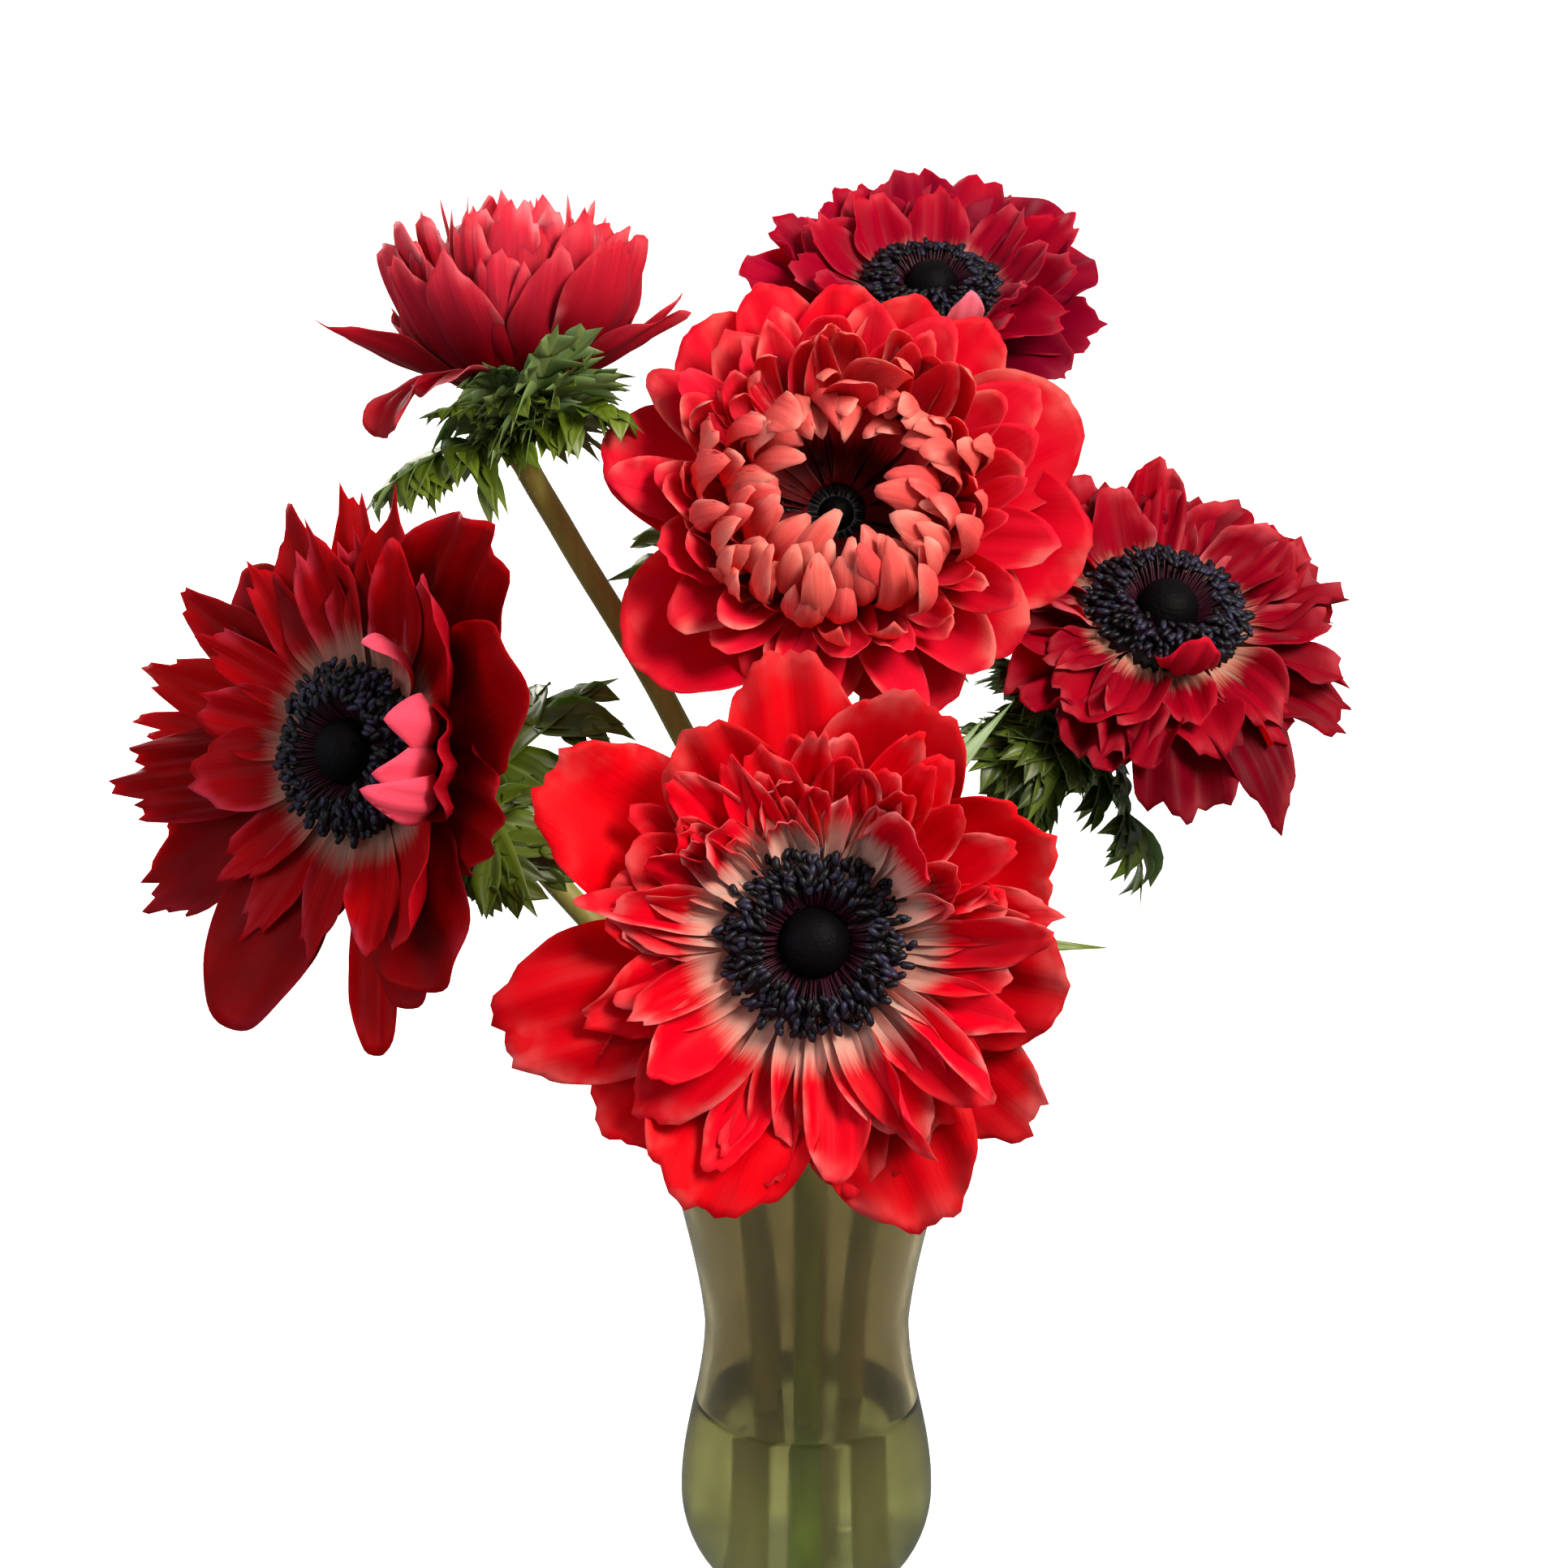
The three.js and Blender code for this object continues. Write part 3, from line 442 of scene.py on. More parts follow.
# %% The table of blooms
BLOOMS = {
    "front": {
        "at": (0.7, -65, 155), "faces": (0, 20), "foot": 270, "way": [(0.5, -20, 108), (0.7, -33, 132)],
        "neck": 22, "collar": 20, "leaves": [(-4, 44, 8, -40), (125, 27, 20, -60), (240, 26, 20, -70)],
        "blades": [(1, 50, -6, -4), (50, 53, 15, -16), (53, 49, 13, -18)],
        "heart": 1.0, "rise": 5, "frill": 0.018, "ruffle": 0.2, "crease": 0.07, "wild": 1.7, "uneven": 0.14,
        "claw_colour_reach": 16.2,
        "tepals": [(96, 43, 11, 18), (67, 40, 12.5, 22), (24, 38, 12.5, 24), (-11, 38, 12, 20),
                   (-40, 42, 9.5, 12), (-67, 45, 13, 14), (-114, 43, 14, 18), (-164, 49, 13, 12),
                   (148, 48, 13, 20), (120, 38, 10, 34), (-138, 41, 11, 15)],
        "rings": [(FOLDED, 15, 34.5, 6.2, 6, 30, 8, {"cup": 0.4, "tilt": 10, "claw": 0.5}),
                  (FOLDED, 16, 33.5, 4.8, 4, 42, 22, {"cup": 0.45, "tilt": 20, "claw": 0.5}),
                  (STRAP, 15, 31, 4.2, 2, 50, 3,
                   {"late": 1.6, "cup": 0.45, "tilt": 30, "claw": 0.55, "ruffled": 1.6}),
                  (FOLDED, 14, 29, 3.9, 2, 76, 24,
                   {"span": 140, "late": 2.2, "cup": 0.45, "claw": 0.55, "ruffled": 2.2}),
                  (FOLDED, 11, 23.5, 3.7, 2, 84, 32,
                   {"span": 125, "late": 2.0, "cup": 0.45, "claw": 0.55, "ruffled": 2.0})],
        "loose": [(STRAP, -64, 38, 4.6, 6, 40, 84, 0.05, 2), (STRAP, -30, 36, 3.4, 6, 50, -60, -0.2, 3),
                  (STRAP, 168, 37, 3.8, 6, 34, 50, 0.05, 3), (ROUND, 46, 31, 6.6, 6, 88, -16, 0.0, 3)],
    },
    "coral": {
        "at": (4.7, 0, 207.2), "faces": (2, 33), "foot": None, "way": [(1, 5, 120), (3, 14, 160)],
        "neck": 22, "collar": 18, "leaves": [(186, 40, 8, -30), (-48, 36, 8, -30), (80, 25, 20, -60)],
        "heart": 0.52, "spread": 1.6, "stamens": 0.5, "purple": 0.0,
        "rise": 6, "frill": 0.006, "ruffle": 0.14, "crease": 0.05, "wild": 1.0, "claw_colour_reach": 9.5,
        "tepals": [(124, 37, 12, 22), (165, 38, 12, 20), (-141, 40, 14, 16), (-104, 33, 11, 14),
                   (-66, 35, 11, 14), (-38, 35, 10, 20), (-9, 40, 13, 16), (22, 41, 13, 18),
                   (50, 39, 9, 24), (68, 37, 8.5, 27), (87, 37, 9, 30), (107, 38, 8.5, 26)],
        "rings": [(FOLDED, 16, 36, 5.8, 8, 44, 12),
                  (FOLDED, 19, 32.5, 4.6, 8, 66, 0, {"late": 1.2, "loll": 1.6}),
                  (STRAP, 17, 31.5, 3.8, 6, 104, 6, {"late": 1.6, "loll": 2.0, "columns": 13}),
                  (ROUND, 26, 35.5, 3.0, 4, 166, 9,
                   {"open": 58, "late": 1.8, "loll": 2.4, "cup": 0.5, "columns": 11}),
                  (ROUND, 26, 33, 2.9, 4, 176, 0,
                   {"open": 34, "late": 1.6, "loll": 2.4, "cup": 0.5, "columns": 11}),
                  (ROUND, 24, 30, 2.8, 4, 180, 14,
                   {"open": 10, "late": 1.5, "loll": 2.4, "cup": 0.5, "columns": 11}),
                  (ROUND, 18, 26.5, 2.7, 4, 174, 4, {"late": 1.35, "loll": 2.4, "cup": 0.5, "columns": 11})],
        "loose": [(STRAP, 84, 33, 4.6, 6, 150, -40, -0.3, 7, 1.6),
                  (ROUND, 132, 33, 4.6, 6, 170, 10, 0.0, 7, 1.3),
                  (STRAP, 22, 29, 5.0, 6, 200, 20, 0.1, 7, 1.9),
                  (ROUND, 80, 30, 4.8, 24, 112, 8, 0.05, 6, 1.0)],
    },
    "left": {
        "at": (-75.4, -22, 172.3), "faces": (-40, 17), "foot": 205,
        "way": [(-24, -8, 118), (-42, -3, 138), (-56, 0, 153)],
        "neck": 14, "collar": 27, "leaves": [(38, 34, 12, -46), (-68, 30, 12, -50), (165, 26, 20, -70)],
        "leaf_painted_shade": -0.6, "heart": 1.0,
        "rise": 5, "frill": 0.045, "ruffle": 0.1, "crease": 0.07, "wild": 0.9, "claw_colour_reach": 15.0,
        "tepals": [(177, 51, 7, 6), (159, 47, 7, 8), (146, 38.5, 8.6, 6), (124, 41, 8, 10), (106, 41, 7.5, 8),
                   (89, 39, 8, 8), (58, 48, 13, 24), (27, 48, 13, 30), (-6, 40, 11, 32), (-42, 43, 13, 24),
                   (-55, 42, 10, 14), (-107, 50, 13, 10), (-141, 52, 9.5, 6), (-161, 50, 8.5, 6),
                   (-173, 50, 6.5, 6)],
        "smooth": (146, 58, 27, -6, -42, -55, -107),
        "rings": [(STRAP, 10, 32.5, 6.2, 8, 20, 74, {"span": 220})],
        "loose": [(FOLDED, -70, 47, 5.0, 5, 6, -8, 0.0, 0, {"blunt": 4.0, "sharp": 0.4}),
                  (ROUND, 46, 40, 10, 6, 48, -10, 0.1, 1), (ROUND, 8, 35, 10, 6, 54, 0, 0.0, 1),
                  (ROUND, -34, 39, 9.5, 6, 48, 14, -0.1, 1), (STRAP, -60, 36, 5.0, 8, 44, -30, 0.1, 1),
                  (STRAP, 70, 37, 5.2, 8, 40, 30, 0.1, 1), (STRAP, -86, 24, 5.0, 6, 16, 0, 0.0, 0)],
        "curled": [(-8, 45, 4.8, 3, 136), (6, 38, 4.8, 3, 130), (20, 36, 5.6, 3, 122), (56, 33, 3.8, 3, 116)],
    },
    "nodding": {
        "at": (-50.8, 15, 228.4), "faces": (185, 62), "foot": 145,
        "way": [(-8, 11, 128), (-24.6, 13, 168), (-42.5, 14, 200)],
        "neck": 12, "collar": 8, "leaves": [(-30, 28, 40, -90), (202, 32, 16, -60), (278, 22, 56, -60)],
        "more_leaves": [(-62, 32, 33, 8), (-100, 20, 76, -50), (-140, 20, 60, -70), (-44, 27, 30, 0)],
        "heart": 0.38, "stamens": 0.4, "rise": 14, "frill": 0.022, "ruffle": 0.1, "crease": 0.08, "wild": 0.9,
        "uneven": 0.08, "claw_colour_reach": -6.0,
        "tepals": [(4, 32, 7, 34), (32, 30, 7.5, 78), (58, 28.5, 7, 84), (84, 26.5, 7.5, 90),
                   (110, 28.5, 7, 86), (136, 30.5, 8.8, 74), (163, 29, 7, 32), (178, 30.5, 4, 48),
                   (204, 29, 7, 76), (232, 29, 7.5, 82), (262, 29, 7.5, 82), (294, 29, 7.5, 82),
                   (326, 29, 7.5, 76)],
        "rings": [(FOLDED, 16, 30, 5.2, 22, 90, 12, {"late": 0.75, "columns": 15}),
                  (FOLDED, 16, 30.5, 4.4, 30, 94, 0, {"late": 0.75, "columns": 15}),
                  (STRAP, 16, 30, 3.7, 42, 98, 20, {"late": 0.8, "columns": 13}),
                  (POINTED, 14, 29, 3.4, 54, 100, 8, {"late": 0.8, "columns": 13}),
                  (POINTED, 12, 28, 3.2, 66, 102, 5, {"columns": 13})],
        "loose": [(SPOON, 35, 28.5, 5.4, 16, -66, 0, 0.0, 0), (ROUND, 54, 23, 5.6, 4, -32, 10, 0.0, 0),
                  (POINTED, 46, 26.5, 3.9, 10, 84, 8, 0.0, 0, 0.8),
                  (POINTED, 70, 25, 3.6, 10, 86, -6, 0.05, 0, 0.8),
                  (POINTED, 98, 24, 3.8, 10, 86, 6, -0.05, 0, 0.8),
                  (ROUND, 8, 32.5, 8.5, 14, 92, 12, 0.0, 0, 0.8),
                  (FOLDED, 22, 33.5, 6.5, 22, 88, -10, 0.0, 1, 0.8),
                  (ROUND, 168, 33, 10.0, 16, 88, -6, 0.0, 0, 0.8),
                  (ROUND, 150, 32, 8.0, 18, 92, 0, 0.0, 1, 0.8)],
    },
    "back": {
        "at": (22.6, 60, 230.6), "faces": (4, 70), "foot": 80, "way": [(8, 30, 130), (17, 50, 180)],
        "neck": 22, "collar": 16, "leaves": [(50, 24, 26, -64), (170, 26, 26, -64), (290, 24, 26, -64)],
        "heart": 0.84, "rise": 6, "frill": 0.03, "ruffle": 0.16, "crease": 0.09, "wild": 1.0, "claw_colour_reach": 9.0,
        "tepals": [(8, 27.5, 10, 30), (34, 28, 12, 44), (66, 24.5, 10, 50), (92, 27.5, 10, 46),
                   (120, 27.5, 9, 44), (150, 29, 10, 36), (180, 32, 12, 26), (222, 30, 11, 22),
                   (264, 30, 11, 20), (303, 31, 10, 6), (332, 28.5, 10, 12)],
        "smooth": (34, 180, 8),
        "rings": [(FOLDED, 11, 25.8, 7.0, 10, 48, 22), (FOLDED, 9, 22, 6.0, 8, 66, 0)],
        "curled": [(-79, 24, 4.0, 4, 116)],
    },
    "right": {
        "at": (62.4, 10, 184.4), "faces": (21, 64), "foot": 12,
        "way": [(21, 4, 118), (34, 7, 146), (43, 9, 161)],
        "neck": 9, "collar": 26, "leaves": [(-6, 34, 10, -60), (178, 22, 20, -50), (262, 29, -2, -40)],
        "more_leaves": [(220, 26, 30, -70), (310, 22, 40, -80), (250, 30, -20, -30), (280, 24, -44, -20)],
        "leaf_painted_shade": -1.4, "heart": 0.96,
        "rise": 5, "frill": 0.03, "ruffle": 0.3, "crease": 0.14, "wild": 1.4, "claw_colour_reach": 10.5,
        "tepals": [(5, 30, 9, 10), (35, 26, 11, 34), (65, 25, 11, 42), (95, 25, 10, 44), (128, 25, 11, 36),
                   (165, 27, 9, 16), (200, 29, 9, 0), (230, 30, 11, -20), (258, 33, 11, -34),
                   (284, 39, 8, -44), (318, 31, 9, -16)],
        "rings": [(FOLDED, 13, 28, 7.0, 8, 14, 18, {"tilt": 34}),
                  (FOLDED, 11, 23.5, 5.8, 6, 26, 3, {"tilt": 34})],
        "curled": [(-106, 26, 5.4, 6, 116)],
    },
}
print(len(BLOOMS), "blooms")

# %% [markdown]
# ## The frame of a bloom
#
# A bloom is worked out flat in front of the reader, with Z out of its face, and then turned to where it
# faces. Three unit vectors do that: the axis out of the face, a horizontal one to its right, and one up.

# %% Frames
UP = np.array([0.0, 0.0, 1.0])


def unit(vector):
    """The vector divided by its length, or each of an array of vectors."""
    return vector / np.linalg.norm(vector, axis=-1, keepdims=True)


def frame_at(point, axis, hint):
    """A point and three columns x, y, z with z = axis, y = z cross hint and x = y cross z."""
    y = unit(np.cross(axis, hint))
    return np.array(point, float), np.stack([np.cross(y, axis), y, axis], axis=-1)


def bloom_frame(bloom):
    """Z points round by the first angle from the front and above the horizon by the second."""
    around, above = np.radians(bloom["faces"])
    axis = np.array([math.sin(around) * math.cos(above), -math.cos(around) * math.cos(above),
                     math.sin(above)])
    return frame_at(bloom["at"], axis, np.cross(UP, axis))


def placed(points, place):
    """Points of a local frame in the bouquet's frame: origin + columns times the point."""
    origin, columns = place
    return points @ columns.T + origin


print("the front bloom looks along", bloom_frame(BLOOMS["front"])[1][:, 2].round(2))

# %% [markdown]
# ## Petals
#
# An anemone's petal is a thin satin sheet on a narrow claw. Its midline leaves the disc at one slope and
# bends to another, evenly like an arc or mostly near its end like a hook. Its section is a shallow
# trough that rolls a little towards the tip, and real petals add what makes them look alive: lengthwise
# creases, a ruffled edge and a torn or toothed end. Each of these is a small term added to the height of
# the sheet, so one formula in two parameters makes every petal of a ring at once, as one array.
#
# The lines of the grid run from the claw to the end of the petal and never meet in a pole. Each line
# stops where the outline is, so a toothed end is only a matter of making neighbouring lines longer or
# shorter. The veins of the finish follow the same lines.

# %% Bent lines
# Eight Gauss points give the mean of a smooth curve, here of the cosine and the sine of a slope.
GAUSS_AT, GAUSS_WEIGHT = np.polynomial.legendre.leggauss(8)


def bent_line(length, rise, turn, late, share):
    """Out and up at a share s of a line whose slope is a + t s^k: L s times the mean of cos and of sin."""
    out = high = 0.0
    for at, weight in zip((GAUSS_AT + 1) / 2, GAUSS_WEIGHT / 2):
        slope = rise + turn * (share * at) ** late
        out = out + weight * np.cos(slope)
        high = high + weight * np.sin(slope)
    return length * share * out, length * share * high


print("a quarter circle of length 1 ends at", np.round(bent_line(1, 0, math.pi / 2, 1, 1), 3))

# %% Petal formula
ROOT_RADIUS = 5
PETAL_THICKNESS = 0.34
EDGE_THINNER = 0.75
TEETH = 9.0
BUCKLE = 0.11
BUCKLE_WAVES = 6
CURL_FROM = 0.7


def petal_points(p, s, v, lift):
    """Points of all petals: s from claw to end and v from edge to edge.

    A line v ends at T(v) = peak + (1 - peak)(1 - |v|^(1/sharp))^(1/blunt), plus teeth. Its half width is
    half (claw + (1 - claw) smooth(a / peak)) at a = s T. The height over the middle surface is the cup
    v^2, plus a fold |v| that opens with a, plus creases cos(k v), plus a buckle sin(w a), plus a ruffle
    sin(w a) |v|^3 near the edge, plus a curl of the end (a - 0.7)^2, plus lift. The waves grow with the
    open share 1.6 a - 0.2 between 0 and 1, and the draws d1, d2 and d3 shift them.
    """
    end = p["peak"] + (1 - p["peak"]) * (1 - np.abs(v) ** (1 / p["sharp"])) ** (1 / p["blunt"])
    teeth = (np.sin(TEETH * v * (1 + 0.2 * p["d1"]) + 6 * p["d2"])
             + 0.6 * np.sin(2.3 * TEETH * v + 9 * p["d3"]))
    end = end * (1 + p["frill"] * teeth * np.minimum(1, end))
    a = s * end
    turn = p["tip"] - p["rise"]
    slope = p["rise"] + turn * a ** p["late"]
    widening = np.clip(a / p["peak"], 0, 1)
    across = v * p["half"] * (p["claw"] + (1 - p["claw"]) * widening ** 2 * (3 - 2 * widening))
    open_share = np.clip(a * 1.6 - 0.2, 0, 1)
    creases = np.cos(p["creases"] * v + 4 * p["d2"]) * p["crease"] * open_share
    buckle = np.sin(BUCKLE_WAVES * a + 5 * p["d1"] + 0.8 * v) * BUCKLE * open_share * (1 - 0.5 * v ** 2)
    ruffle = (np.sin(p["waves"] * a + 5 * p["d3"] + 1.5 * np.sign(v)) * np.abs(v) ** 3
              * p["ruffle"] * open_share)
    curl = p["curl"] * p["length"] * np.clip(a - CURL_FROM, 0, 1) ** 2
    fold = (p["cup"] * np.abs(v) + p["fold"] * (1 - a)) * np.abs(across)
    raised = fold + (creases + buckle + ruffle) * p["half"] + curl + lift
    roll = p["roll"] * a
    side = across * np.cos(roll) - raised * np.sin(roll) + p["sweep"] * p["length"] * a * a
    off = across * np.sin(roll) + raised * np.cos(roll)
    out, high = bent_line(p["length"], p["rise"], turn, p["late"], a)
    radius = ROOT_RADIUS + out - off * np.sin(slope)
    return np.stack([radius * np.cos(p["angle"]) - side * np.sin(p["angle"]),
                     radius * np.sin(p["angle"]) + side * np.cos(p["angle"]),
                     p["root"] + high + off * np.cos(slope)], axis=-1), a


# %% Shells of petals
# The masks tell the finish where it is on a petal. mask holds the way from the claw in millimetres, the
# nearness to the edge, and 0 above or 1 below. grain holds places in metres for patterns that follow the
# petal. kind holds the petal's own tone, its ring from 0 outside to 1 inside, or 2 when it is curled, and
# the share of its length.
TONE_SHIFT = 0.05


def petal_shells(p, rows, columns):
    """The points, faces and masks of a set of petals, each a closed shell thinner towards its edge.

    Rows lie a little closer towards the end of a petal, and lines much closer towards its two edges.
    """
    s = (np.linspace(0, 1, rows) ** 0.9)[None, :, None]
    v = np.sin(np.linspace(-1, 1, columns) * math.pi / 2 * 0.999)[None, None, :]
    edge = np.maximum(np.abs(v) ** 2, s ** 3)
    half_thick = PETAL_THICKNESS / 2 * (1 - EDGE_THINNER * edge ** 4)
    upper, a = petal_points(p, s, v, half_thick)
    lower, _ = petal_points(p, s, v, -half_thick)

    def both(above, below=None):
        """Values across the upper face and back along the lower one."""
        pair = [np.broadcast_to(x, a.shape) for x in (above, above if below is None else below)]
        return np.concatenate([pair[0], pair[1][:, :, ::-1]], axis=2)

    masks = {"mask": (both(a * p["length"]), both(edge), both(0.0, 1.0)),
             "grain": (both(v * p["half"] * MM), both(a * p["length"] * MM), both(p["tone"] * TONE_SHIFT)),
             "kind": (both(p["tone"]), both(p["layer"]), both(a))}
    return (np.concatenate([upper, lower[:, :, ::-1]], axis=2).reshape(-1, 3),
            blade_faces(rows, columns, len(a)),
            {label: np.stack(values, axis=-1).reshape(-1, 3) for label, values in masks.items()})


# %% Gather a bloom's petals
ROWS_OUTER, COLUMNS_OUTER = 22, 27
ROWS_INNER, COLUMNS_INNER = 18, 17
LOWEST_ROOT = -2.7
LAYER_STEP = 1
SECOND_TEPAL_RISE = 3
SECOND_TEPAL_ROOT = 0.5
TEPAL_CLAW, TEPAL_ROLL = 0.16, 6
INNER_CLAW, INNER_ROLL = 0.24, 16
LOOSE_LIFT = 0.4
CURLED_RING, CURLED_LATE, CURLED_SWEEP, CURLED_LAYER = 3, 1.6, 0.06, 2.0
# How far an inner petal strays from its ring, in degrees for angle and rise and as a share for the others
UNEVEN, UNEVEN_HALF, TIP_STRAY, LATE_STRAY, SWEEP_STRAY = 0.12, 0.26, 0.2, 0.15, 0.08
ANGLE_STRAY, RISE_STRAY = 7, 4
# How many creases and waves a petal has, and how far each of its forms strays
CREASES, CREASES_STRAY, WAVES, WAVES_STRAY = 8, 3, 12, 4
END_CURL, FRILL_STRAY, FORM_STRAY = 0.35, 0.5, 0.6
SEEDS_A_BLOOM, SEEDS_A_RING, LOOSE_SEED, CURLED_SEED = 500, 60, 460, 490


def tepal_set(bloom, number):
    """The outer tepals of the table. Every second one starts a little steeper and higher."""
    angle, length, half, tip = np.array(bloom["tepals"], float).T
    i = np.arange(len(angle))
    outlines = [ROUND if h > ROUND_ABOVE else POINTED for h in half]
    return {"angle": np.radians(angle), "length": length, "half": half, "tip": np.radians(tip),
            "rise": np.radians(bloom["rise"] + SECOND_TEPAL_RISE * (i % 2)),
            "root": LOWEST_ROOT + SECOND_TEPAL_ROOT * (i % 2), "late": 1.0, "claw": TEPAL_CLAW,
            "roll": np.radians(TEPAL_ROLL), "sweep": 0.0, "layer": 0.0, "seed": number * SEEDS_A_BLOOM + i,
            "toothed": np.array([a not in bloom.get("smooth", ()) for a in angle], float),
            **{key: np.array([outline[key] for outline in outlines]) for key in ROUND}}


def ring_set(bloom, number, layer):
    """One inner ring: petals spread over its span, each differing a little by a draw of its own.

    The last slope of the petal at the angle g is tip + tilt sin g - open max(0, sin g)^2.
    """
    ring = named(RING, bloom["rings"][layer])
    wild = bloom["wild"]
    i = np.arange(ring["count"])
    seed = number * SEEDS_A_BLOOM + SEEDS_A_RING * (layer + 1) + i
    angle = np.radians(ring["first"] + ring.get("span", 360) * i / ring["count"]
                       + ANGLE_STRAY * wild * draw(seed))
    tip = ring["tip"] * (1 + TIP_STRAY * wild * draw(seed + 0.9)) + ring.get("tilt", 0) * np.sin(angle)
    tip = tip - ring.get("open", 0) * np.maximum(0, np.sin(angle)) ** 2
    return {"angle": angle, "length": ring["length"] * (1 + bloom.get("uneven", UNEVEN) * draw(seed + 0.3)),
            "half": ring["half"] * (1 + UNEVEN_HALF * draw(seed + 0.6)), "tip": np.radians(tip),
            "rise": np.radians(ring["rise"] + RISE_STRAY * wild * draw(seed + 0.8)),
            "root": LOWEST_ROOT + LAYER_STEP * (layer + 1),
            "late": ring.get("late", 1.0) * (1 + LATE_STRAY * draw(seed + 0.5)),
            "claw": ring.get("claw", INNER_CLAW), "ruffled": ring.get("ruffled", 1.0),
            "roll": np.radians(INNER_ROLL * ring.get("loll", 1.0) * wild * draw(seed + 0.2)),
            "sweep": SWEEP_STRAY * wild * draw(seed + 0.7), "layer": (layer + 1) / len(bloom["rings"]),
            "seed": seed, **{key: ring[key] for key in ROUND}}


def curled_set(bloom, number):
    """The few innermost petals that stand up and curl over the heart."""
    angle, length, half, rise, tip = np.array(bloom["curled"], float).T
    i = np.arange(len(angle))
    return {"angle": np.radians(angle), "length": length, "half": half, "tip": np.radians(tip),
            "rise": np.radians(rise), "root": LOWEST_ROOT + LAYER_STEP * CURLED_RING, "late": CURLED_LATE,
            "claw": INNER_CLAW, "roll": np.radians(INNER_ROLL * draw(i + 0.2)),
            "sweep": CURLED_SWEEP * draw(i + 0.7), "layer": CURLED_LAYER,
            "seed": number * SEEDS_A_BLOOM + CURLED_SEED + i, "toothed": 0.0, **STRAP}


def loose_set(bloom, number):
    """Petals placed one by one, out of step with their ring."""
    loose = [named(LOOSE, row) for row in bloom["loose"]]
    p = {key: np.array([x.get(key, 1.0) for x in loose], float) for key in (*LOOSE, *ROUND)}
    for key in ("angle", "tip", "rise", "roll"):
        p[key] = np.radians(p[key])
    return {**p, "root": LOWEST_ROOT + LAYER_STEP * p["layer"] + LOOSE_LIFT,
            "layer": np.minimum(p["layer"] / len(bloom["rings"]), 1), "claw": INNER_CLAW,
            "seed": number * SEEDS_A_BLOOM + LOOSE_SEED + np.arange(len(loose)), "toothed": 0.0}


def finish_set(p, bloom):
    """Adds the terms that make petals differ and shapes every value to sit beside a grid."""
    seed = p.pop("seed")
    frill = bloom["frill"] * p.pop("toothed", 1.0)
    p.update({"d1": draw(seed + 0.11), "d2": draw(seed + 0.22), "d3": draw(seed + 0.33),
              "tone": draw(seed + 0.44), "curl": END_CURL * draw(seed + 0.55),
              "creases": CREASES + CREASES_STRAY * draw(seed + 0.66),
              "waves": WAVES + WAVES_STRAY * draw(seed + 0.77),
              "frill": frill * (1 + FRILL_STRAY * draw(seed + 0.88)),
              "ruffle": bloom["ruffle"] * p.pop("ruffled", 1.0) * (1 + FORM_STRAY * draw(seed + 0.13)),
              "crease": bloom["crease"] * (1 + FORM_STRAY * draw(seed + 0.17))})
    return {key: np.broadcast_to(np.asarray(value, float), seed.shape)[:, None, None]
            for key, value in p.items()}


def bloom_petals(bloom, number):
    """All the petals of a bloom as points, faces and masks in the bloom's own frame."""
    sets = [(tepal_set(bloom, number), ROWS_OUTER, COLUMNS_OUTER)]
    for layer, row in enumerate(bloom["rings"]):
        columns = named(RING, row).get("columns", COLUMNS_INNER)
        sets.append((ring_set(bloom, number, layer), ROWS_INNER, columns))
    for key, make_set in (("curled", curled_set), ("loose", loose_set)):
        if key in bloom:
            sets.append((make_set(bloom, number), ROWS_INNER, COLUMNS_INNER))
    return joined([petal_shells(finish_set(p, bloom), rows, columns) for p, rows, columns in sets])


# %% [markdown]
# ## Petal skin
#
# A petal's skin is a single layer of cells that hold the pigment, over a spongy middle that scatters
# light. It reads as satin, deep and saturated, with fine parallel veins from claw to edge. The claw has
# no pigment, so it is creamy and ends in a ragged line; on the coral it is near black instead, as painted
# shade of the deep hollow round the heart. The rim is paler in soft, broken stretches: partly the sheet's
# own paler edge where it thins, and partly a painted highlight where the edge would catch the light, so it
# is stronger on one side of a petal than on the other. Underneath the skin is paler or duller. The masks
# say where a point is, and the finish is a stack of coats of colour, each laid over the ones before by a
# share that those masks give.

# %% Petal material
VEIN_SPACING = 0.55
RAGGED = 7.0
CLAW_LESS_BENEATH = 7.0
CLAW_FADE = 6.0


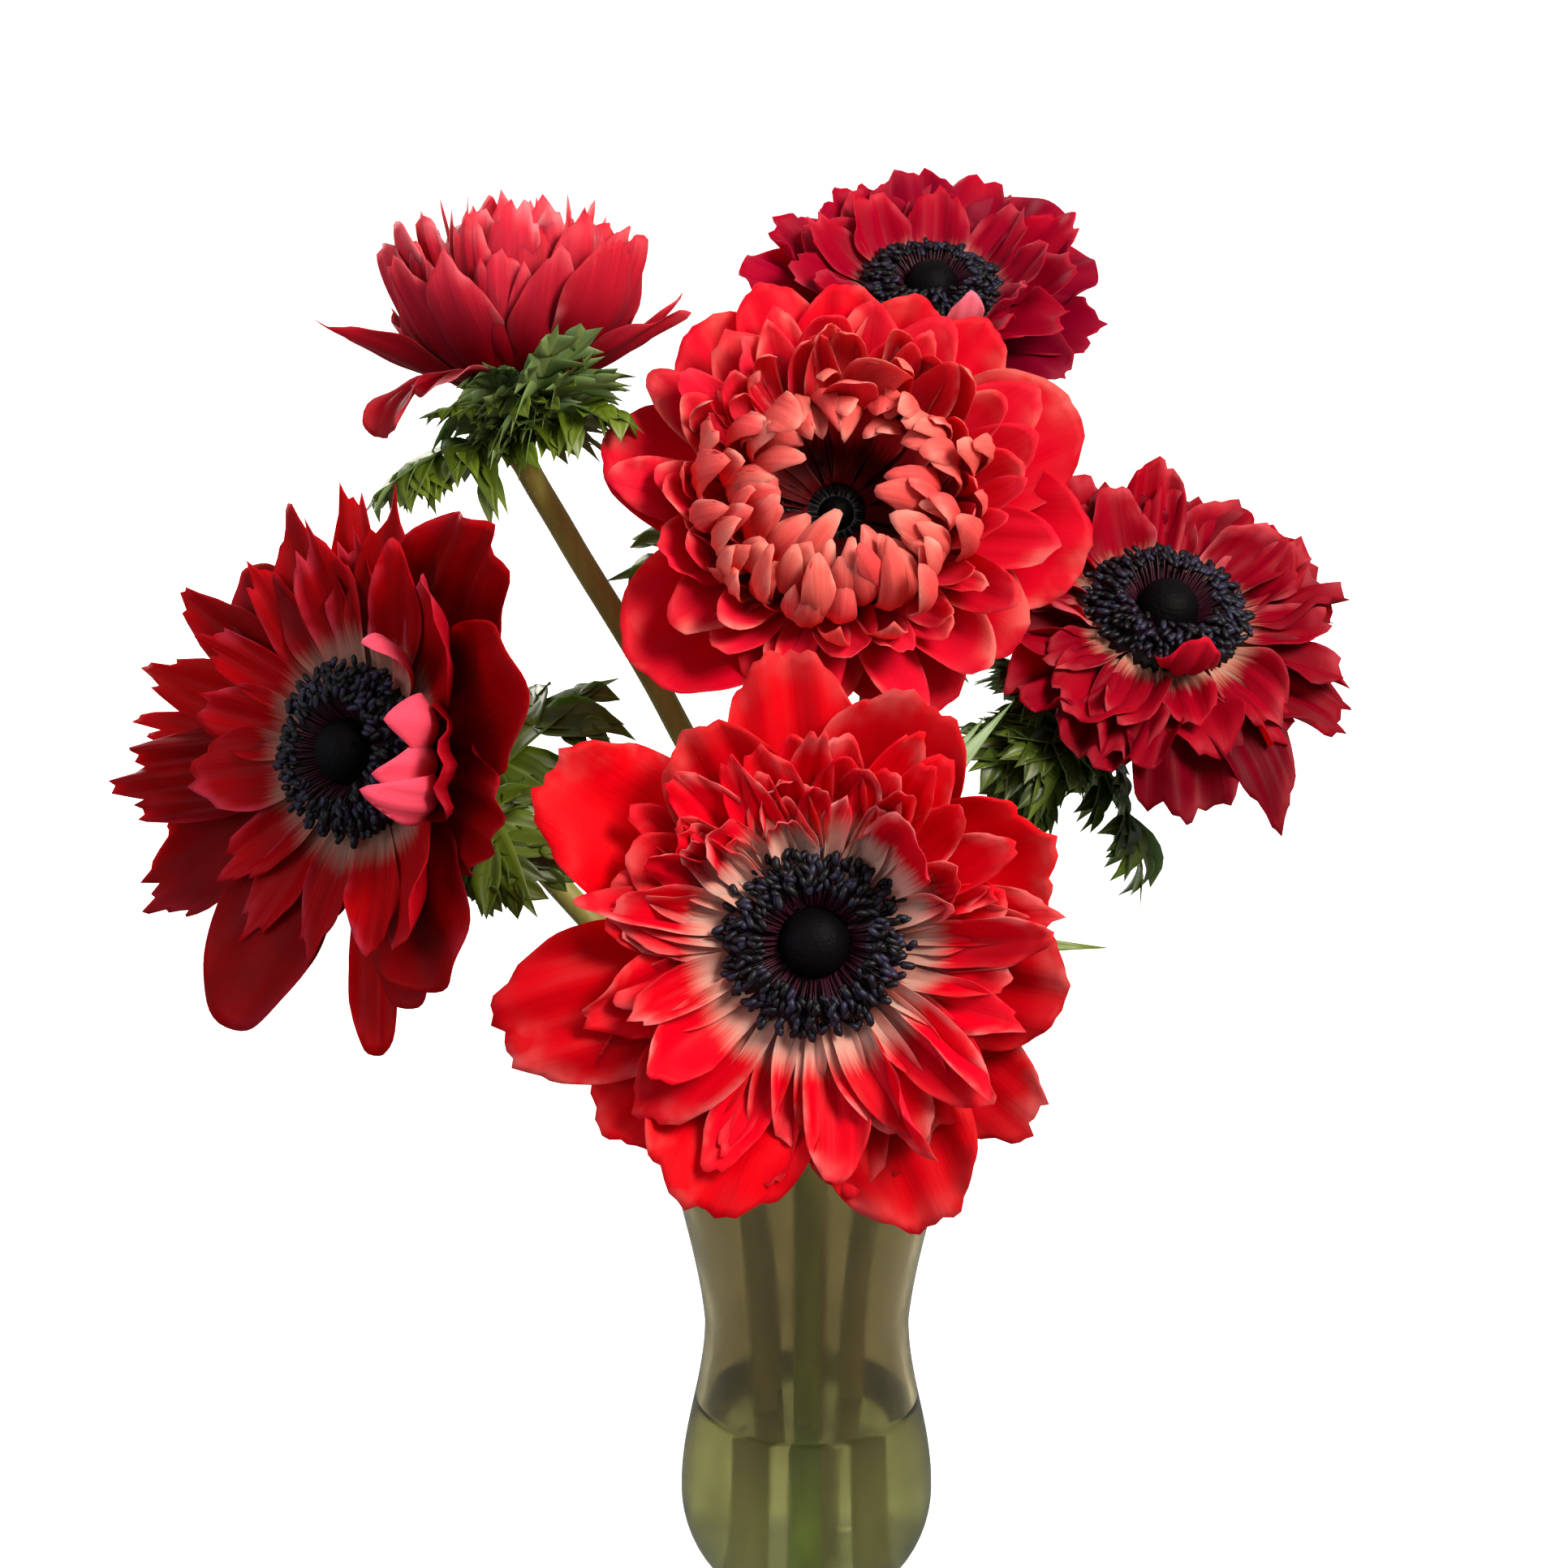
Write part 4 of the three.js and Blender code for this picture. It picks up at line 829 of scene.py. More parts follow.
def petal_material(skin, claw_end):
    """Satin petal skin: each coat's colour covers the ones below by its share, from the body to the curl."""
    material, tree, shader = new_material(skin["finish"], {
        "Roughness": 0.5, "Specular IOR Level": 0.05, "Subsurface Weight": 0.45,
        "Subsurface Radius": (1.0, 0.1, 0.08), "Subsurface Scale": 1.4 * MM})
    grain, mask, kind = (add_node(tree, "ShaderNodeAttribute", attribute_name=label).outputs["Vector"]
                         for label in ("grain", "mask", "kind"))
    across, _, _ = add_node(tree, "ShaderNodeSeparateXYZ", {0: grain}).outputs
    reach, edge, side = add_node(tree, "ShaderNodeSeparateXYZ", {0: mask}).outputs
    tone, layer, share = add_node(tree, "ShaderNodeSeparateXYZ", {0: kind}).outputs
    stretch = add_node(tree, "ShaderNodeMapping", {"Vector": grain,
                                                   "Scale": (1 / (VEIN_SPACING * MM), 60, 40)})
    veins = add_node(tree, "ShaderNodeTexNoise", {"Vector": stretch, "Scale": 1.0, "Detail": 3.0,
                                                  "Roughness": 0.6})
    cloud = add_node(tree, "ShaderNodeTexNoise", {"Vector": grain, "Scale": 160.0, "Detail": 2.0})

    # Body: some petals and patches are deeper, and inner rings have their own red
    petal_tone = add_node(tree, "ShaderNodeMath", {0: tone, 1: 0.9, 2: cloud}, operation="MULTIPLY_ADD")
    depth = add_node(tree, "ShaderNodeMapRange", {"Value": petal_tone, "From Min": -0.4, "From Max": 1.3})
    dark = add_node(tree, "ShaderNodeMath", {0: depth, 1: skin["contrast"]}, operation="MULTIPLY")
    middle = add_node(tree, "ShaderNodeMapRange", {"Value": layer, "From Max": 0.35, "To Max": 0.8})
    pale = add_node(tree, "ShaderNodeMapRange", {"Value": tone, "From Min": -1.0, "To Min": 0.36})
    inner = add_node(tree, "ShaderNodeMapRange", {"Value": layer, "From Min": 0.35, "To Max": pale})

    # Underside: one colour on the outer petals and another on the inner ones
    inner_under = add_node(tree, "ShaderNodeMapRange", {"Value": layer, "From Min": 0.1, "From Max": 0.4})
    under_colour = add_node(tree, "ShaderNodeMix", {"Factor": inner_under, "A": srgb(skin["outer_back"]),
                                                    "B": srgb(skin["back"])}, data_type="RGBA")
    under = add_node(tree, "ShaderNodeMath", {0: side, 1: pale}, operation="MULTIPLY")

    # Veins, and a shade towards the claw
    vein = add_node(tree, "ShaderNodeMapRange", {"Value": veins, "From Min": 0.35, "From Max": 0.7,
                                                 "To Max": 0.34})
    near = add_node(tree, "ShaderNodeMapRange", {"Value": share, "From Min": 0.25, "To Min": skin["fade"],
                                                 "To Max": 0.0}, interpolation_type="SMOOTHSTEP")

    # Rim: partly the sheet's own paler edge, partly a painted highlight where it would catch the light;
    # stronger inside, broken by patches, and lit on one side of the petal
    rim = add_node(tree, "ShaderNodeMapRange", {"Value": edge, "From Min": 0.55,
                                                "To Max": skin["rim_highlight_share"]},
                   interpolation_type="SMOOTHSTEP")
    inner_edge = add_node(tree, "ShaderNodeMapRange", {"Value": layer, "To Min": 0.3, "To Max": 1.2})
    patch = add_node(tree, "ShaderNodeMath", {0: tone, 1: 0.08, 2: cloud}, operation="MULTIPLY_ADD")
    broken = add_node(tree, "ShaderNodeMapRange", {"Value": patch, "From Min": 0.4, "From Max": 0.62,
                                                   "To Min": 0.1})
    leaning = add_node(tree, "ShaderNodeMath", {0: across, 1: tone}, operation="MULTIPLY")
    lit_side = add_node(tree, "ShaderNodeMapRange", {"Value": leaning, "From Min": -1.0 * MM,
                                                     "From Max": 1.2 * MM, "To Min": 0.12})
    for part in (inner_edge, broken, lit_side):
        rim = add_node(tree, "ShaderNodeMath", {0: rim, 1: part}, operation="MULTIPLY")

    # Claw, shorter underneath, and the paler far end of the curled petals
    ragged = add_node(tree, "ShaderNodeMath", {0: veins, 1: RAGGED, 2: reach}, operation="MULTIPLY_ADD")
    ragged = add_node(tree, "ShaderNodeMath", {0: side, 1: CLAW_LESS_BENEATH, 2: ragged},
                      operation="MULTIPLY_ADD")
    # The claw coat is creamy on most blooms; on the coral it is near black, painted shade of its hollow.
    claw = add_node(tree, "ShaderNodeMapRange", {
        "Value": ragged, "From Min": claw_end, "From Max": claw_end + CLAW_FADE, "To Min": 0.88,
        "To Max": 0.0}, interpolation_type="SMOOTHSTEP")
    is_curled = add_node(tree, "ShaderNodeMath", {0: layer, 1: 1.5}, operation="GREATER_THAN")
    far = add_node(tree, "ShaderNodeMapRange", {"Value": share, "From Min": 0.4, "From Max": 0.85,
                                                "To Min": 0.1, "To Max": 0.95},
                   interpolation_type="SMOOTHSTEP")
    curl = add_node(tree, "ShaderNodeMath", {0: is_curled, 1: far}, operation="MULTIPLY")

    tint = srgb(skin["body"])
    for part, coat in ((depth, "deep"), (middle, "middle"), (inner, "inner"), (dark, "deep"),
                       (under, "under"), (vein, "deep"), (near, "deep"), (rim, "edge"), (claw, "claw"),
                       (curl, "curled")):
        colour = under_colour.outputs["Result"] if coat == "under" else srgb(skin[coat])
        tint = add_node(tree, "ShaderNodeMix", {"Factor": part, "A": tint, "B": colour},
                        data_type="RGBA").outputs["Result"]
    bump = add_node(tree, "ShaderNodeBump", {"Strength": 0.35, "Distance": 0.25 * MM, "Height": veins})
    fill(shader, {"Base Color": tint, "Normal": bump})
    return material


# %% Petal colours
# The edge colour is the pale rim: partly the petal's own paler edge, partly a painted highlight. The
# last three values say how strong that rim, the shade at the claw and the dark petals are.
SKIN = ("finish", "slot", "body", "deep", "middle", "inner", "claw", "back", "outer_back", "curled", "edge",
        "rim_highlight_share", "fade", "contrast")
PETAL_SKINS = {
    "front": ("satin scarlet petal", "petal_scarlet", "#ea0012", "#ae000e", "#ea0020", "#f00a30", "#c89a8c",
              "#dc2440", "#dc2440", "#fa0c34", "#ff9c9a", 0.72, 0.3, 0.42),
    # The coral's claw colour is near black: painted shade of the deep hollow round its heart.
    "coral": ("satin coral petal", "petal_coral", "#d40424", "#be001c", "#f02444", "#f25450", "#0c0102",
              "#e06c60", "#cc2c40", "#f6a088", "#ffa898", 0.8, 0.55, 0.3),
    "left": ("satin dark red petal", "petal_dark", "#b00004", "#6a0004", "#b40008", "#ac0008", "#987262",
             "#94081c", "#94081c", "#f0506a", "#cc3850", 0.5, 0.2, 0.3),
    "nodding": ("satin rose petal", "petal_rose", "#b0061a", "#6c000c", "#c4162a", "#d2243a", "#cf8f86",
                "#e02e46", "#d82a42", "#e03c50", "#ff949a", 0.95, 1.0, 0.4),
    "back": ("satin crimson petal", "petal_crimson", "#9e0028", "#70001e", "#a80020", "#a60020", "#b8867c",
             "#9c1c44", "#9c1c44", "#f47a8c", "#dc5c70", 0.36, 0.3, 0.4),
    "right": ("satin crimson petal ruffled", "petal_crimson", "#96001a", "#5c0010", "#9c0018", "#a2001c",
              "#d0a088", "#900c2c", "#900c2c", "#c4102a", "#e0606c", 0.5, 0.3, 0.4),
}

# %% Make the petals
for number, (name, bloom) in enumerate(BLOOMS.items()):
    skin = dict(zip(SKIN, PETAL_SKINS[name]))
    points, faces, masks = bloom_petals(bloom, number)
    make_piece(f"petals_of_{name}", placed(points, bloom_frame(bloom)), faces,
               petal_material(skin, bloom["claw_colour_reach"]), skin["slot"], f"petals_{name}", masks)
    print(name, len(faces) * 2, "triangles of petals")

# %% [markdown]
# ## The dark heart
#
# In the middle stands a dome of hundreds of pistils packed together, matt and blue-black, and round it
# the stamens: thin purple filaments that each carry a small two-lobed anther. The dome is a turned shape
# whose radius is pricked by two crossing spirals, as the pistils are set. A stamen is drawn as an arc of
# a slim tube and a bean on its end, and all of a bloom's stamens are one array.

# %% Heart finishes
# The dome's pistils are packed hairy points that drink the light and leave one soft grey highlight.
pistil, tree, shader = new_material("blue-black pistils", {"Roughness": 0.6, "Specular IOR Level": 0.06})
where = add_node(tree, "ShaderNodeTexCoord").outputs["Object"]
fine = add_node(tree, "ShaderNodeTexNoise", {"Vector": where, "Scale": 1400.0, "Detail": 3.0})
tint = add_node(tree, "ShaderNodeMix", {"Factor": fine, "A": srgb("#020203"), "B": srgb("#0b080c")},
                data_type="RGBA").outputs["Result"]
prick = add_node(tree, "ShaderNodeBump", {"Strength": 0.6, "Distance": 0.3 * MM, "Height": fine})
fill(shader, {"Base Color": tint, "Normal": prick})

# An anther is a navy pod. Paler blue-grey patches on some are partly pollen dust and partly a painted
# highlight where a pod would catch the light; the others stay black.
anther, tree, shader = new_material("navy anther", {"Roughness": 0.5, "Specular IOR Level": 0.3})
where = add_node(tree, "ShaderNodeTexCoord").outputs["Object"]
patch = add_node(tree, "ShaderNodeTexNoise", {"Vector": where, "Scale": 420.0, "Detail": 2.0})
pollen_and_glint = add_node(tree, "ShaderNodeMapRange", {"Value": patch, "From Min": 0.46, "From Max": 0.72})
tint = add_node(tree, "ShaderNodeMix", {"Factor": pollen_and_glint, "A": srgb("#030307"), "B": srgb("#2a2844")},
                data_type="RGBA").outputs["Result"]
dust = add_node(tree, "ShaderNodeTexNoise", {"Vector": where, "Scale": 3000.0, "Detail": 1.0})
grit = add_node(tree, "ShaderNodeBump", {"Strength": 0.4, "Distance": 0.1 * MM, "Height": dust})
fill(shader, {"Base Color": tint, "Normal": grit})

# A filament is a smooth wet thread, wine purple at its root and near black towards its anther.
filament, tree, shader = new_material("wine purple filament", {"Roughness": 0.5, "Specular IOR Level": 0.3})
mask = add_node(tree, "ShaderNodeAttribute", attribute_name="mask").outputs["Vector"]
root_share, _, _ = add_node(tree, "ShaderNodeSeparateXYZ", {0: mask}).outputs
tint = add_node(tree, "ShaderNodeMix", {"Factor": root_share, "A": srgb("#080308"), "B": srgb("#3c1022")},
                data_type="RGBA").outputs["Result"]
fill(shader, {"Base Color": tint})
print(pistil.name, "and", anther.name, "and", filament.name)

# %% The dome and the bed of the stamens
DISC_OVER = 1
GAP = 0.3
HEART_FOOT = DISC_OVER + GAP
DOME_RADIUS = 6.0
DOME_HEIGHT = 8.6
DOME_ROWS = 32
DOME_SIDES = 72
DOME_SPIRALS = 21
DOME_TOP, DOME_CAP = 0.03, 0.02
PRICK, WIND = 0.012, 34
BED_RADIUS = 14.0
BED_RISE = 2.8
BED_SIDES = 96
BED_FLUTE = 0.05
BED_PROFILE = [(1.0, 0.0), (1.0, 0.35), (0.8, 1.0), (0.45, 1.0)]
PURPLE_RING = 2.0


def dome_piece(name, bloom):
    """A dome r = R sin(pi t / 2)^0.9, z = H cos(pi t / 2)^0.75, pricked by cos(n a + wt) cos(n a - wt)."""
    size = bloom["heart"]
    t = np.linspace(1, DOME_TOP, DOME_ROWS)[:, None]
    turns = DOME_SPIRALS * np.arange(DOME_SIDES) * 2 * math.pi / DOME_SIDES
    prick = 1 + PRICK * np.sin(math.pi * t / 2) * np.cos(turns + WIND * t) * np.cos(turns - WIND * t)
    radius = DOME_RADIUS * size * np.sin(math.pi * t / 2) ** 0.9 * prick
    height = HEART_FOOT + DOME_HEIGHT * size * np.cos(math.pi * t / 2) ** 0.75 * prick
    points, faces = turned(radius, height, DOME_SIDES, HEART_FOOT, height[-1, -1] + DOME_CAP)
    make_piece(f"dome_of_{name}", placed(points, bloom_frame(bloom)), faces, pistil, "heart_black",
               f"heart_{name}")


def purple_mask(radius, bloom):
    """How wine purple a filament is: 2 - r / R of the dome, full at the dome and none at twice its radius."""
    near_dome = np.clip(PURPLE_RING - radius / (DOME_RADIUS * bloom["heart"]), 0, 1)
    return {"mask": np.repeat((near_dome * bloom.get("purple", 1.0)).reshape(-1, 1), 3, axis=1)}


def bed_piece(name, bloom):
    """The cushion that the filaments' feet make: a low cone fluted by r = R (1 + 0.05 cos(48 a))."""
    rise = BED_RISE * bloom["heart"]
    flute = 1 + BED_FLUTE * np.cos(np.arange(BED_SIDES) * math.pi)
    profile = np.array(BED_PROFILE) * (BED_RADIUS * bloom["heart"] * bloom.get("spread", 1.0), rise)
    points, faces = turned(profile[:, :1] * flute, HEART_FOOT + profile[:, 1:], BED_SIDES, HEART_FOOT,
                           HEART_FOOT + rise)
    make_piece(f"bed_of_{name}", placed(points, bloom_frame(bloom)), faces, filament, "heart_black",
               f"heart_{name}", purple_mask(np.hypot(points[:, 0], points[:, 1]), bloom))


# %% Stamens
STAMEN_TIERS = [(66, 15.7, 3.8), (66, 14.4, 4.9), (62, 13.1, 5.7), (56, 11.8, 6.3), (48, 10.5, 6.6)]
STAMEN_ROOT_RADIUS = 5.2
STAMEN_ROOT = 2.0
STAMEN_TURN, STAMEN_UNEVEN, STAMEN_RISE = 0.09, 0.07, 0.16
SEEDS_A_HEART, SEEDS_A_TIER = 700, 50
FILAMENT_RADIUS = 0.2
FILAMENT_ROWS, FILAMENT_SIDES = 5, 4
ANTHER_LENGTH = 1.15
ANTHER_WIDTH = 0.68
ANTHER_ROWS, ANTHER_SIDES = 5, 6


def stamen_arrays(bloom, number):
    """Angle, reach, height and lean of every stamen. A tier is (count, reach, height)."""
    size = bloom["heart"]
    spread = size * bloom.get("spread", 1.0)
    parts = []
    for t, (count, reach, high) in enumerate(STAMEN_TIERS):
        i = np.arange(int(count * bloom.get("stamens", 1)))
        seed = number * SEEDS_A_HEART + t * SEEDS_A_TIER + i + 0.5
        parts.append(np.stack([
            (i + t / 2) * 2 * math.pi / len(i) + STAMEN_TURN * draw(seed),
            reach * spread * (1 + STAMEN_UNEVEN * draw(seed + 0.2)) - ANTHER_LENGTH * size,
            HEART_FOOT + high * size * (1 + STAMEN_RISE * draw(seed + 0.4)),
            draw(seed + 0.6)], axis=-1))
    return np.concatenate(parts)


def tube_rings(centres, normals, binormals, radius, sides):
    """Rings round a line: centre + r (cos a n + sin a b). Arrays are (copies, rows, 3)."""
    angle = np.arange(sides) * 2 * math.pi / sides
    ring = np.cos(angle)[:, None] * normals[..., None, :] + np.sin(angle)[:, None] * binormals[..., None, :]
    return centres[..., None, :] + np.asarray(radius)[..., None, None] * ring


def stamen_pieces(name, bloom, number):
    """Filaments that arch from the dome's foot, z = sin(pi t / 2), and anthers lying across their ends."""
    size = bloom["heart"]
    place = bloom_frame(bloom)
    angle, reach, high, tilt = stamen_arrays(bloom, number).T
    t = np.linspace(0, 1, FILAMENT_ROWS)[None, :]
    low = HEART_FOOT + STAMEN_ROOT * size
    root = STAMEN_ROOT_RADIUS * size
    radius = root + (reach[:, None] - root) * t
    height = low + (high[:, None] - low) * np.sin(t * math.pi / 2)
    outward = np.stack([np.cos(angle), np.sin(angle), 0 * angle], axis=-1)[:, None, :]
    sideways = np.stack([-np.sin(angle), np.cos(angle), 0 * angle], axis=-1)[:, None, :]
    centres = outward * radius[..., None] + UP * height[..., None]
    thick = FILAMENT_RADIUS * size * (1.2 - 0.4 * t) + 0 * radius
    tubes = tube_rings(centres, sideways + 0 * centres, UP + 0 * centres, thick, FILAMENT_SIDES)
    make_piece(f"filaments_of_{name}", placed(tubes.reshape(-1, 3), place),
               tube_faces(FILAMENT_ROWS, FILAMENT_SIDES, len(angle)), filament, "heart_black",
               f"heart_{name}", purple_mask(np.repeat(radius, FILAMENT_SIDES, axis=1), bloom))

    # The bean: an ellipsoid along a direction that leans off the stamen's own, pinched in the middle
    lean = 0.9 * tilt[:, None, None]
    along = unit(outward * np.cos(lean) + sideways * np.sin(lean) + UP * 0.35 * tilt[:, None, None])
    across = unit(np.cross(along, UP + 0 * along))
    over = np.cross(across, along)
    u = np.linspace(0.08, math.pi - 0.08, ANTHER_ROWS)[None, :]
    scale = size * (1 + 0.2 * draw(1000 * tilt + 3))[:, None]
    middle = centres[:, -1:, :] + along * (-np.cos(u) * ANTHER_LENGTH * scale)[..., None]
    bean_radius = ANTHER_WIDTH * scale * np.sin(u) ** 0.7 * (1 - 0.12 * np.sin(u) ** 6)
    beans = tube_rings(middle, across + 0 * middle, over + 0 * middle, bean_radius, ANTHER_SIDES)
    make_piece(f"anthers_of_{name}", placed(beans.reshape(-1, 3), place),
               tube_faces(ANTHER_ROWS, ANTHER_SIDES, len(angle)), anther, "heart_black", f"heart_{name}")
    return len(angle)


# %% Make the hearts
for number, (name, bloom) in enumerate(BLOOMS.items()):
    dome_piece(name, bloom)
    bed_piece(name, bloom)
    print(name, stamen_pieces(name, bloom, number), "stamens")

# %% [markdown]
# ## Stems
#
# A stem is a smooth curve through a few points: the vase's floor, its waist and mouth, the way up, and
# the last stretch in line with the bloom. A centripetal Catmull-Rom curve passes through all of them
# without loops. The tube carried along it swells where the leaves spring from it and has shallow ribs.

# %% Stem curve
STEM_FOOT_RING = 8.5
STEM_WAIST_RING = 9
STEM_MOUTH_RING = 15
STEM_ROWS = 90
DISC_UNDER = 3.6


def catmull_rom(points, steps=40):
    """Centripetal Catmull-Rom: knots lie apart by the root of the distance, and lines are blended thrice."""
    points = np.array(points, float)
    points = np.vstack([2 * points[0] - points[1], points, 2 * points[-1] - points[-2]])
    parts = []
    for level in zip(points, points[1:], points[2:], points[3:]):
        knots = np.cumsum([0.0, *[np.linalg.norm(b - a) ** 0.5 for a, b in zip(level, level[1:])]])
        t = np.linspace(knots[1], knots[2], steps)[:, None]
        for spans in (((0, 1), (1, 2), (2, 3)), ((0, 2), (1, 3)), ((1, 2),)):
            level = [(knots[j] - t) / (knots[j] - knots[i]) * a + (t - knots[i]) / (knots[j] - knots[i]) * b
                     for (i, j), a, b in zip(spans, level, level[1:])]
        parts.append(level[0][:-1])
    return np.vstack([*parts, points[-2:-1]])


def stem_line(bloom):
    """Points at even steps along a stem, and their distances from its foot."""
    origin, columns = bloom_frame(bloom)
    foot = math.radians(bloom["foot"] or 0)
    ring = [0, 0, 0] if bloom["foot"] is None else [STEM_FOOT_RING, STEM_WAIST_RING, STEM_MOUTH_RING]
    heights = [GLASS_FLOOR + GAP, WAIST_HEIGHT, VASE_HEIGHT]
    line = catmull_rom([*[(r * math.cos(foot), r * math.sin(foot), z) for r, z in zip(ring, heights)],
                        *bloom["way"], origin - columns[:, 2] * bloom["neck"],
                        origin - columns[:, 2] * DISC_UNDER])
    passed = np.concatenate([[0], np.cumsum(np.linalg.norm(np.diff(line, axis=0), axis=1))])
    even = np.linspace(0, passed[-1], STEM_ROWS)
    return np.stack([np.interp(even, passed, line[:, k]) for k in range(3)], axis=-1), even


def carried_frames(line):
    """Tangents, and normals carried along with no twist: each is the last one less its tangent part."""
    tangents = unit(np.gradient(line, axis=0))
    normals = [unit(np.cross(tangents[0], np.array([0.0, 1.0, 0.0])))]
    for tangent in tangents[1:]:
        normals.append(unit(normals[-1] - np.dot(normals[-1], tangent) * tangent))
    normals = np.array(normals)
    return tangents, normals, np.cross(tangents, normals)


print("the front stem is", round(stem_line(BLOOMS["front"])[1][-1]), "mm long")

# %% [markdown]
# ## The skin of stems and leaves
#
# Stems are round, ribbed and satin, olive green with a brown flush, and they are covered in short white
# hairs. The leaves of the collar are darker above and grey-green below, with a paler vein along the
# middle of each lobe.

# %% Green finishes
# Down in the vase the stem skin is painted pale: partly the paler skin under water, and partly painted
# light in place of the light that the glass holds back. The freshest stem shows a bright lime green there,
# brightened by the same painted light.
stem_skin, tree, shader = new_material("ribbed olive stem skin", {
    "Roughness": 0.5, "Subsurface Weight": 0.12, "Subsurface Radius": (0.5, 1.0, 0.2),
    "Subsurface Scale": 1.0 * MM})
where = add_node(tree, "ShaderNodeTexCoord").outputs["Object"]
height = add_node(tree, "ShaderNodeSeparateXYZ", {0: where}).outputs["Z"]
long_grain = add_node(tree, "ShaderNodeMapping", {"Vector": where, "Scale": (900, 900, 60)})
fibre = add_node(tree, "ShaderNodeTexNoise", {"Vector": long_grain, "Scale": 1.0, "Detail": 3.0})
flush = add_node(tree, "ShaderNodeTexNoise", {"Vector": where, "Scale": 38.0, "Detail": 2.0})
brown = add_node(tree, "ShaderNodeMapRange", {"Value": flush, "From Min": 0.45, "From Max": 0.75,
                                              "To Max": 0.5})
mask = add_node(tree, "ShaderNodeAttribute", attribute_name="mask").outputs["Vector"]
lime_lit_share, _, _ = add_node(tree, "ShaderNodeSeparateXYZ", {0: mask}).outputs
wet_and_lit_colour = add_node(tree, "ShaderNodeMix", {"Factor": lime_lit_share, "A": srgb("#f0e4b4"), "B": srgb("#c4ec00")},
               data_type="RGBA").outputs["Result"]
pale_and_lit_below_water = add_node(tree, "ShaderNodeMapRange", {"Value": height, "From Min": WATER_LEVEL * MM,
                                             "From Max": VASE_HEIGHT * MM, "To Min": 0.85, "To Max": 0.0})
tint = srgb("#b4ae58")
for share, colour in ((fibre, srgb("#8e8c3a")), (brown, srgb("#7a6434")), (pale_and_lit_below_water, wet_and_lit_colour)):
    tint = add_node(tree, "ShaderNodeMix", {"Factor": share, "A": tint, "B": colour},
                    data_type="RGBA").outputs["Result"]
ridge = add_node(tree, "ShaderNodeBump", {"Strength": 0.35, "Distance": 0.2 * MM, "Height": fibre})
fill(shader, {"Base Color": tint, "Normal": ridge})

# A leaf is satin with a fine mottle. Each lobe has its own tone, and a bloom's leaf shade lays painted
# shade over its leaves, near black where they hang in the blooms' shadow.
leaf_skin, tree, shader = new_material("cut leaf", {
    "Roughness": 0.45, "Subsurface Weight": 0.12, "Subsurface Radius": (0.4, 1.0, 0.2),
    "Subsurface Scale": 0.6 * MM})
mask = add_node(tree, "ShaderNodeAttribute", attribute_name="mask").outputs["Vector"]
vein, tone, side = add_node(tree, "ShaderNodeSeparateXYZ", {0: mask}).outputs
where = add_node(tree, "ShaderNodeTexCoord").outputs["Object"]
mottle = add_node(tree, "ShaderNodeTexNoise", {"Vector": where, "Scale": 260.0, "Detail": 4.0})
lighter = add_node(tree, "ShaderNodeMapRange", {"Value": tone, "From Min": -1.0, "To Max": 0.45})
painted_leaf_shade = add_node(tree, "ShaderNodeMapRange", {"Value": tone, "From Min": -0.6, "From Max": -2.0,
                                               "To Max": 0.7})
under = add_node(tree, "ShaderNodeMath", {0: side, 1: 0.5}, operation="MULTIPLY")
line = add_node(tree, "ShaderNodeMapRange", {"Value": vein, "From Max": 0.22, "To Min": 0.45, "To Max": 0.0},
                interpolation_type="SMOOTHSTEP")
tint = srgb("#304604")
for share, code in ((mottle, "#54680a"), (lighter, "#7c9020"), (painted_leaf_shade, "#182402"), (under, "#7d9a6a"),
                    (line, "#869c44")):
    tint = add_node(tree, "ShaderNodeMix", {"Factor": share, "A": tint, "B": srgb(code)},
                    data_type="RGBA").outputs["Result"]
pore = add_node(tree, "ShaderNodeBump", {"Strength": 0.3, "Distance": 0.2 * MM, "Height": mottle})
fill(shader, {"Base Color": tint, "Normal": pore})

# A hair is a single clear cell, so against the stem it shows as a pale matt point.
hair_skin = new_material("white stem hair", {"Base Color": srgb("#cdd3b4"), "Roughness": 0.6})[0]
print(stem_skin.name, "and", leaf_skin.name, "and", hair_skin.name)

# %% [markdown]
# ## Cut leaves
#
# Three or more leaves spring from one place below each bloom. Each is cut nearly to its rib into forked,
# toothed segments. Every tooth is a lens-shaped lobe along a straight line in the flat leaf; then the
# whole leaf is bent along an arc and folded a little at its rib, by the line that bends the petals too.
# The narrow blades under the front bloom are the tips of leaves that hang behind it, one lobe each.

# %% Lobes of a leaf
LEAF_SEGMENTS = [{"root": 0.08, "angle": 78, "reach": 0.32}, {"root": 0.2, "angle": 60, "reach": 0.5},
                 {"root": 0.46, "angle": 44, "reach": 0.48}]
LEAF_FORK = [{"turn": 14, "share": 0.86}, {"turn": -12, "share": 1.0}]
LEAF_TEETH = [{"from": 0.4, "turn": 32, "share": 0.42}, {"from": 0.58, "turn": -28, "share": 0.36}]
END_LOBES = [(0.56, 0.3), (0.74, 0.22)]
LEAF_VARIETY = 0.12
LOBE_HALF_WIDTH = 0.095


def lobe(start, angle, length, width, slope, seed):
    """A lobe of a flat leaf: a quadratic line that leaves its start and lifts or droops, with a twist."""
    return {"start": np.array(start, float), "angle": angle, "length": length, "width": width, "slope": slope,
            "bend": -0.2 + 0.3 * float(draw(seed)), "twist": 0.6 * float(draw(seed + 0.37))}


def lobe_point(one, s):
    """The middle line of a lobe: start + length (cos, sin, 0) s + up length (slope s + bend s^2)."""
    return one["start"] + one["length"] * s * np.array([math.cos(one["angle"]), math.sin(one["angle"]),
                                                        one["slope"] + one["bend"] * s])


